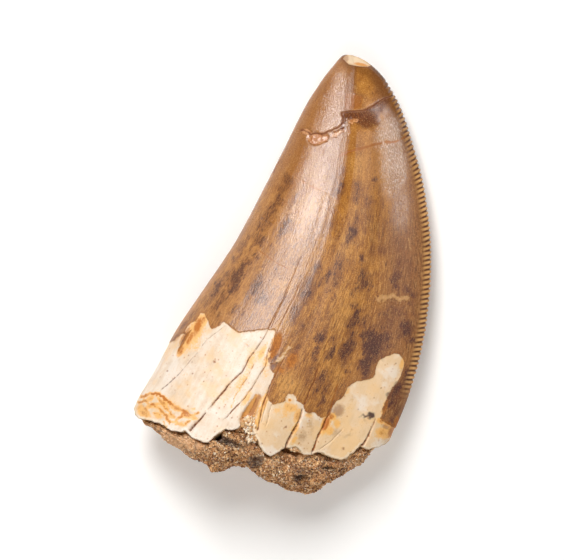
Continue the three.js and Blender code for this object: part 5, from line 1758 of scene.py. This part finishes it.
    # ---- the broken wall, and the worn tip --------------------------------
    raw = t.ramp(t.add(t.madd(t.sub(cloud, 0.5), 0.9, 0.5), t.mul(t.sub(grain, 0.5), 0.5)),
                 [(0.0, rgb(150, 104, 62)), (0.5, rgb(214, 178, 130)), (1.0, rgb(240, 216, 180))])
    is_bare = t.step(t.madd(t.sub(tiny, 0.5), 0.08, t.madd(t.sub(grain, 0.5), 0.1, bare)), -0.03, 0.03)
    colour = t.mix(is_bare, enamel, dentine)
    colour = t.mix(t.step(broken, 0.3, 1.0), colour, raw)
    tip_col = t.mix(t.step(t.madd(t.sub(grain, 0.5), 0.1, tip), 0.3, 0.0), rgb(236, 210, 174), rgb(214, 172, 124))
    tip_col = t.mix(t.mul(t.step(t.madd(t.sub(grain, 0.5), 0.4, rust), 0.2, 0.8), 0.9), tip_col, rgb(218, 146, 66))
    tip_col = t.mix(t.mul(t.step(t.madd(t.sub(grain, 0.5), 0.4, brown), 0.2, 0.7), 0.8), tip_col, rgb(174, 132, 98))
    is_tip = t.step(t.madd(t.sub(grain, 0.5), 0.14, tip), -0.03, 0.05)
    colour = t.mix(is_tip, colour, tip_col)
    tip_rim = t.mul(t.step(tip, -0.3, -0.03), t.step(tip, 0.06, 0.0))
    colour = t.mix(t.mul(tip_rim, 0.5), colour, rgb(126, 70, 28))

    # ---- cracks ----------------------------------------------------------
    colour = t.mix(t.mul(t.step(ochre, 0.15, 0.6), 0.94), colour, rgb(158, 88, 0))
    worn = t.madd(t.sub(G, 0.5), 0.4, pale)
    colour = t.mix(t.step(worn, 0.1, 0.9, 0.0, 0.62), colour, rgb(206, 156, 92))
    colour = t.mix(t.step(worn, 1.0, 1.7, 0.0, 0.7), colour, rgb(236, 208, 176))
    colour = t.mix(t.step(dark, 0.12, 0.75, 0.0, 0.96), colour, rgb(106, 45, 0))

    t.link(colour, t.shader.inputs["Base Color"])

    # ---- gloss -----------------------------------------------------------
    rough_e = t.madd(t.sub(grain, 0.5), 0.08, t.madd(t.sub(fine, 0.5), 0.06, 0.2))
    matt = t.mul(t.mul(t.step(gx.outputs[0], -0.6, 1.4), t.step(gx.outputs[1], 38.0, 36.0)), t.step(polish, 0.7, 0.1))
    rough_e = t.madd(matt, 0.28, t.madd(t.step(gx.outputs[1], 28.0, 19.0), 0.18, t.madd(polish_and_painted_sheen, t.step(gx.outputs[1], 35.0, 28.5, -0.06, 0.08), rough_e)))
    rough_d = t.madd(t.sub(cloud, 0.5), 0.2, 0.56)
    rough = t.blend(t.top(is_bare, is_tip), rough_e, rough_d)
    rough = t.blend(t.step(broken, 0.3, 1.0), rough, 0.85)
    rough = t.blend(t.step(dark, 0.02, 0.25), rough, 0.85)
    rough = t.blend(t.mul(gap_dark, t.step(is_bare, 1.0, 0.0)), rough, 0.92)
    rough = t.blend(t.mul(t.step(rust, 0.2, 0.7), t.step(is_bare, 1.0, 0.0)), rough, 0.85)
    t.link(rough, t.shader.inputs["Roughness"])
    t.shader.inputs["Specular IOR Level"].default_value = 0.3
    t.shader.inputs["IOR"].default_value = 1.56

    # ---- fine relief -----------------------------------------------------
    dapple = t.noise(t.scaled(grow, (6.0, 2.4, 1), (8, 5, 0)), 1, 2, 0.6)
    h_e = t.mul(t.madd(polish_and_painted_sheen, -0.12, t.madd(t.step(polish, 0.0, 0.9), 0.88, 0.12)), t.add(t.mul(fine, 0.16), t.add(t.mul(dapple, 1.0), t.add(t.mul(grain, 0.3), t.mul(tiny, 0.25)))))
    h_d = t.add(t.mul(cloud, 0.5), t.add(t.mul(grain, 0.3), t.mul(hair, 0.2)))
    h_b = t.add(t.mul(t.cells(pos, 2.2), 0.8), t.mul(grain, 0.8))
    height = t.blend(is_bare, h_e, h_d)
    height = t.blend(broken, height, h_b)
    normal = t.bump(height, 0.7, 0.00006)
    t.link(normal, t.shader.inputs["Normal"])
    return t.mat


def matrix_material():
    t = Nodes("sandy_matrix")
    coord = t.tree.nodes.new("ShaderNodeTexCoord").outputs["Object"]
    pos = t.scaled(coord, (1000, 1000, 1000))
    purple, sandy, pit_shade = t.split("tint_and_pit_shade")
    cloud = t.noise(pos, 0.5, 3, 0.6)
    grain = t.noise(pos, 2.6, 3, 0.65)
    tiny = t.noise(pos, 7.5, 2, 0.6)
    colour = t.ramp(t.madd(t.sub(grain, 0.5), 2.3, t.madd(t.sub(cloud, 0.5), 1.6, t.madd(t.sub(tiny, 0.5), 0.9, 0.6))),
                    [(0.0, rgb(64, 33, 14)), (0.3, rgb(126, 78, 40)), (0.55, rgb(190, 132, 78)), (0.8, rgb(224, 174, 114)),
                     (1.0, rgb(244, 208, 158))])
    colour = t.mix(t.mul(t.step(t.madd(t.sub(grain, 0.5), 0.7, purple), 0.2, 0.8), 0.6), colour, rgb(86, 54, 48))
    colour = t.mix(t.mul(t.step(t.madd(t.sub(cloud, 0.5), 0.7, sandy), 0.2, 0.8), 0.65), colour, rgb(236, 186, 138))
    # painted shade: the pits darkened almost to black
    colour = t.mix(t.mul(t.step(pit_shade, 0.1, 0.6), 0.85), colour, rgb(46, 22, 7))
    col_id = t.cells(pos, 3.1, out="Color")
    sep = t.tree.nodes.new("ShaderNodeSeparateColor")
    t.link(col_id, sep.inputs[0])
    colour = t.mix(t.mul(t.step(sep.outputs[0], 0.72, 0.85), 0.45), colour, rgb(222, 196, 160))
    colour = t.mix(t.mul(t.step(sep.outputs[1], 0.75, 0.88), 0.5), colour, rgb(58, 38, 28))
    t.link(colour, t.shader.inputs["Base Color"])
    t.link(t.madd(t.sub(grain, 0.5), 0.3, 0.82), t.shader.inputs["Roughness"])
    t.shader.inputs["Specular IOR Level"].default_value = 0.4
    height = t.add(t.mul(t.cells(pos, 3.1), 0.9), t.add(t.mul(grain, 0.7), t.mul(tiny, 0.35)))
    t.link(t.bump(height, 0.8, 0.00016), t.shader.inputs["Normal"])
    return t.mat


def grain_material():
    t = Nodes("sand_grains")
    tone, glint, dark_tone_and_pit_shade = t.split("grain")
    coord = t.tree.nodes.new("ShaderNodeTexCoord").outputs["Object"]
    pos = t.scaled(coord, (1000, 1000, 1000))
    tiny = t.noise(pos, 6.5, 2, 0.6)
    colour = t.ramp(tone, [(0.0, rgb(66, 34, 15)), (0.14, rgb(114, 68, 34)), (0.3, rgb(174, 118, 68)), (0.56, rgb(216, 160, 102)),
                           (0.82, rgb(232, 184, 128)), (0.94, rgb(246, 216, 172)), (1.0, rgb(250, 238, 216))])
    colour = t.mix(t.mul(t.step(tiny, 0.42, 0.62), 0.3), colour, rgb(150, 96, 56))
    # painted shade in the pits, with the purple tone, darkens the grains
    colour = t.mix(t.mul(t.step(dark_tone_and_pit_shade, 0.2, 0.9), 0.84), colour, rgb(56, 28, 14))
    colour = t.mix(t.mul(t.step(dark_tone_and_pit_shade, -0.2, -0.8), 0.6), colour, rgb(240, 200, 156))
    t.link(colour, t.shader.inputs["Base Color"])
    t.link(t.step(glint, 0.5, 0.8, 0.7, 0.3), t.shader.inputs["Roughness"])
    t.shader.inputs["Specular IOR Level"].default_value = 0.5
    t.link(t.bump(tiny, 0.5, 0.00008), t.shader.inputs["Normal"])
    return t.mat


def crumb_material():
    t = Nodes("dentine_crumbs")
    tone, glint, dark_tone_and_pit_shade = t.split("grain")
    coord = t.tree.nodes.new("ShaderNodeTexCoord").outputs["Object"]
    pos = t.scaled(coord, (1000, 1000, 1000))
    tiny = t.noise(pos, 5.0, 3, 0.6)
    colour = t.ramp(tone, [(0.0, rgb(150, 108, 66)), (0.2, rgb(214, 160, 98)), (0.42, rgb(238, 206, 160)),
                           (0.7, rgb(244, 226, 198)), (1.0, rgb(247, 238, 222))])
    colour = t.mix(t.mul(t.step(tiny, 0.5, 0.66), 0.6), colour, rgb(196, 132, 70))
    t.link(colour, t.shader.inputs["Base Color"])
    t.shader.inputs["Roughness"].default_value = 0.55
    t.link(t.bump(tiny, 0.5, 0.0001), t.shader.inputs["Normal"])
    return t.mat


tooth.data.materials.append(tooth_material())
crumbs.data.materials.append(crumb_material())
matrix.data.materials.append(matrix_material())
grains.data.materials.append(grain_material())

# ---------------------------------------------------------------------------
# floor, light
# ---------------------------------------------------------------------------
floor_mesh = bpy.data.meshes.new("floor")
R = 6.0
floor_mesh.from_pydata([(-R, -R, 0), (R, -R, 0), (R, R, 0), (-R, R, 0)], [], [(0, 1, 2, 3)])
floor = bpy.data.objects.new("floor", floor_mesh)
bpy.context.collection.objects.link(floor)
floor.location.z = -0.00002
f = Nodes("pale_floor")
f.shader.inputs["Base Color"].default_value = (0.97, 0.97, 0.965, 1)
f.shader.inputs["Roughness"].default_value = 0.9
f.shader.inputs["Specular IOR Level"].default_value = 0.1
f.shader.inputs["Emission Color"].default_value = (1, 1, 1, 1)
f.shader.inputs["Emission Strength"].default_value = 0.12
floor.data.materials.append(f.mat)


def softbox(name, at, aim, size, watts, colour=(1, 1, 1), gloss_only=False):
    data = bpy.data.lights.new(name, "AREA")
    data.shape = "RECTANGLE"
    data.size, data.size_y = size
    data.energy = watts
    data.color = colour
    obj = bpy.data.objects.new(name, data)
    bpy.context.collection.objects.link(obj)
    obj.location = at
    obj.rotation_euler = (Vector(at) - Vector(aim)).to_track_quat("Z", "Y").to_euler()
    obj.visible_camera = False
    obj.visible_diffuse = not gloss_only
    return obj


# the key stands to the left of the crown and towards its tip, the other to
# the right, low enough to run a sheen along the serrated flank
softbox("key", (-0.165, 0.275, 0.480), (0.0, 0.0, 0.0), (0.21, 0.36), 3.0, (1.0, 0.985, 0.965))
softbox("gleam", (-0.163, 0.272, 0.474), (0.0, 0.0, 0.0), (0.13, 0.34), 5.3, (1.0, 0.995, 0.99), True)
softbox("side", (0.340, 0.280, 0.414), (0.0, 0.0, 0.0), (0.05, 0.07), 1.15, (1.0, 0.99, 0.985), True)
softbox("fill", (0.060, -0.430, 0.450), (0.0, 0.0, 0.0), (0.50, 0.32), 1.45, (1.0, 0.985, 0.96))

world = bpy.data.worlds.new("studio")
bpy.context.scene.world = world
world.use_nodes = True
# a studio dome: dim straight above, where the camera looks from, and bright
# all round
nodes, links = world.node_tree.nodes, world.node_tree.links
bg = nodes["Background"]
bg.inputs["Color"].default_value = (1.0, 0.975, 0.94, 1)
sky = nodes.new("ShaderNodeTexCoord")
cut = nodes.new("ShaderNodeSeparateXYZ")
dome = nodes.new("ShaderNodeMapRange")
dome.interpolation_type = "SMOOTHSTEP"
dome.inputs["From Min"].default_value = 0.93
dome.inputs["From Max"].default_value = 0.62
dome.inputs["To Min"].default_value = 0.05
dome.inputs["To Max"].default_value = 0.24
links.new(sky.outputs["Generated"], cut.inputs[0])
links.new(cut.outputs[2], dome.inputs["Value"])
links.new(dome.outputs[0], bg.inputs["Strength"])
bpy.context.scene.view_settings.view_transform = "Standard"
bpy.context.scene.view_settings.look = "None"
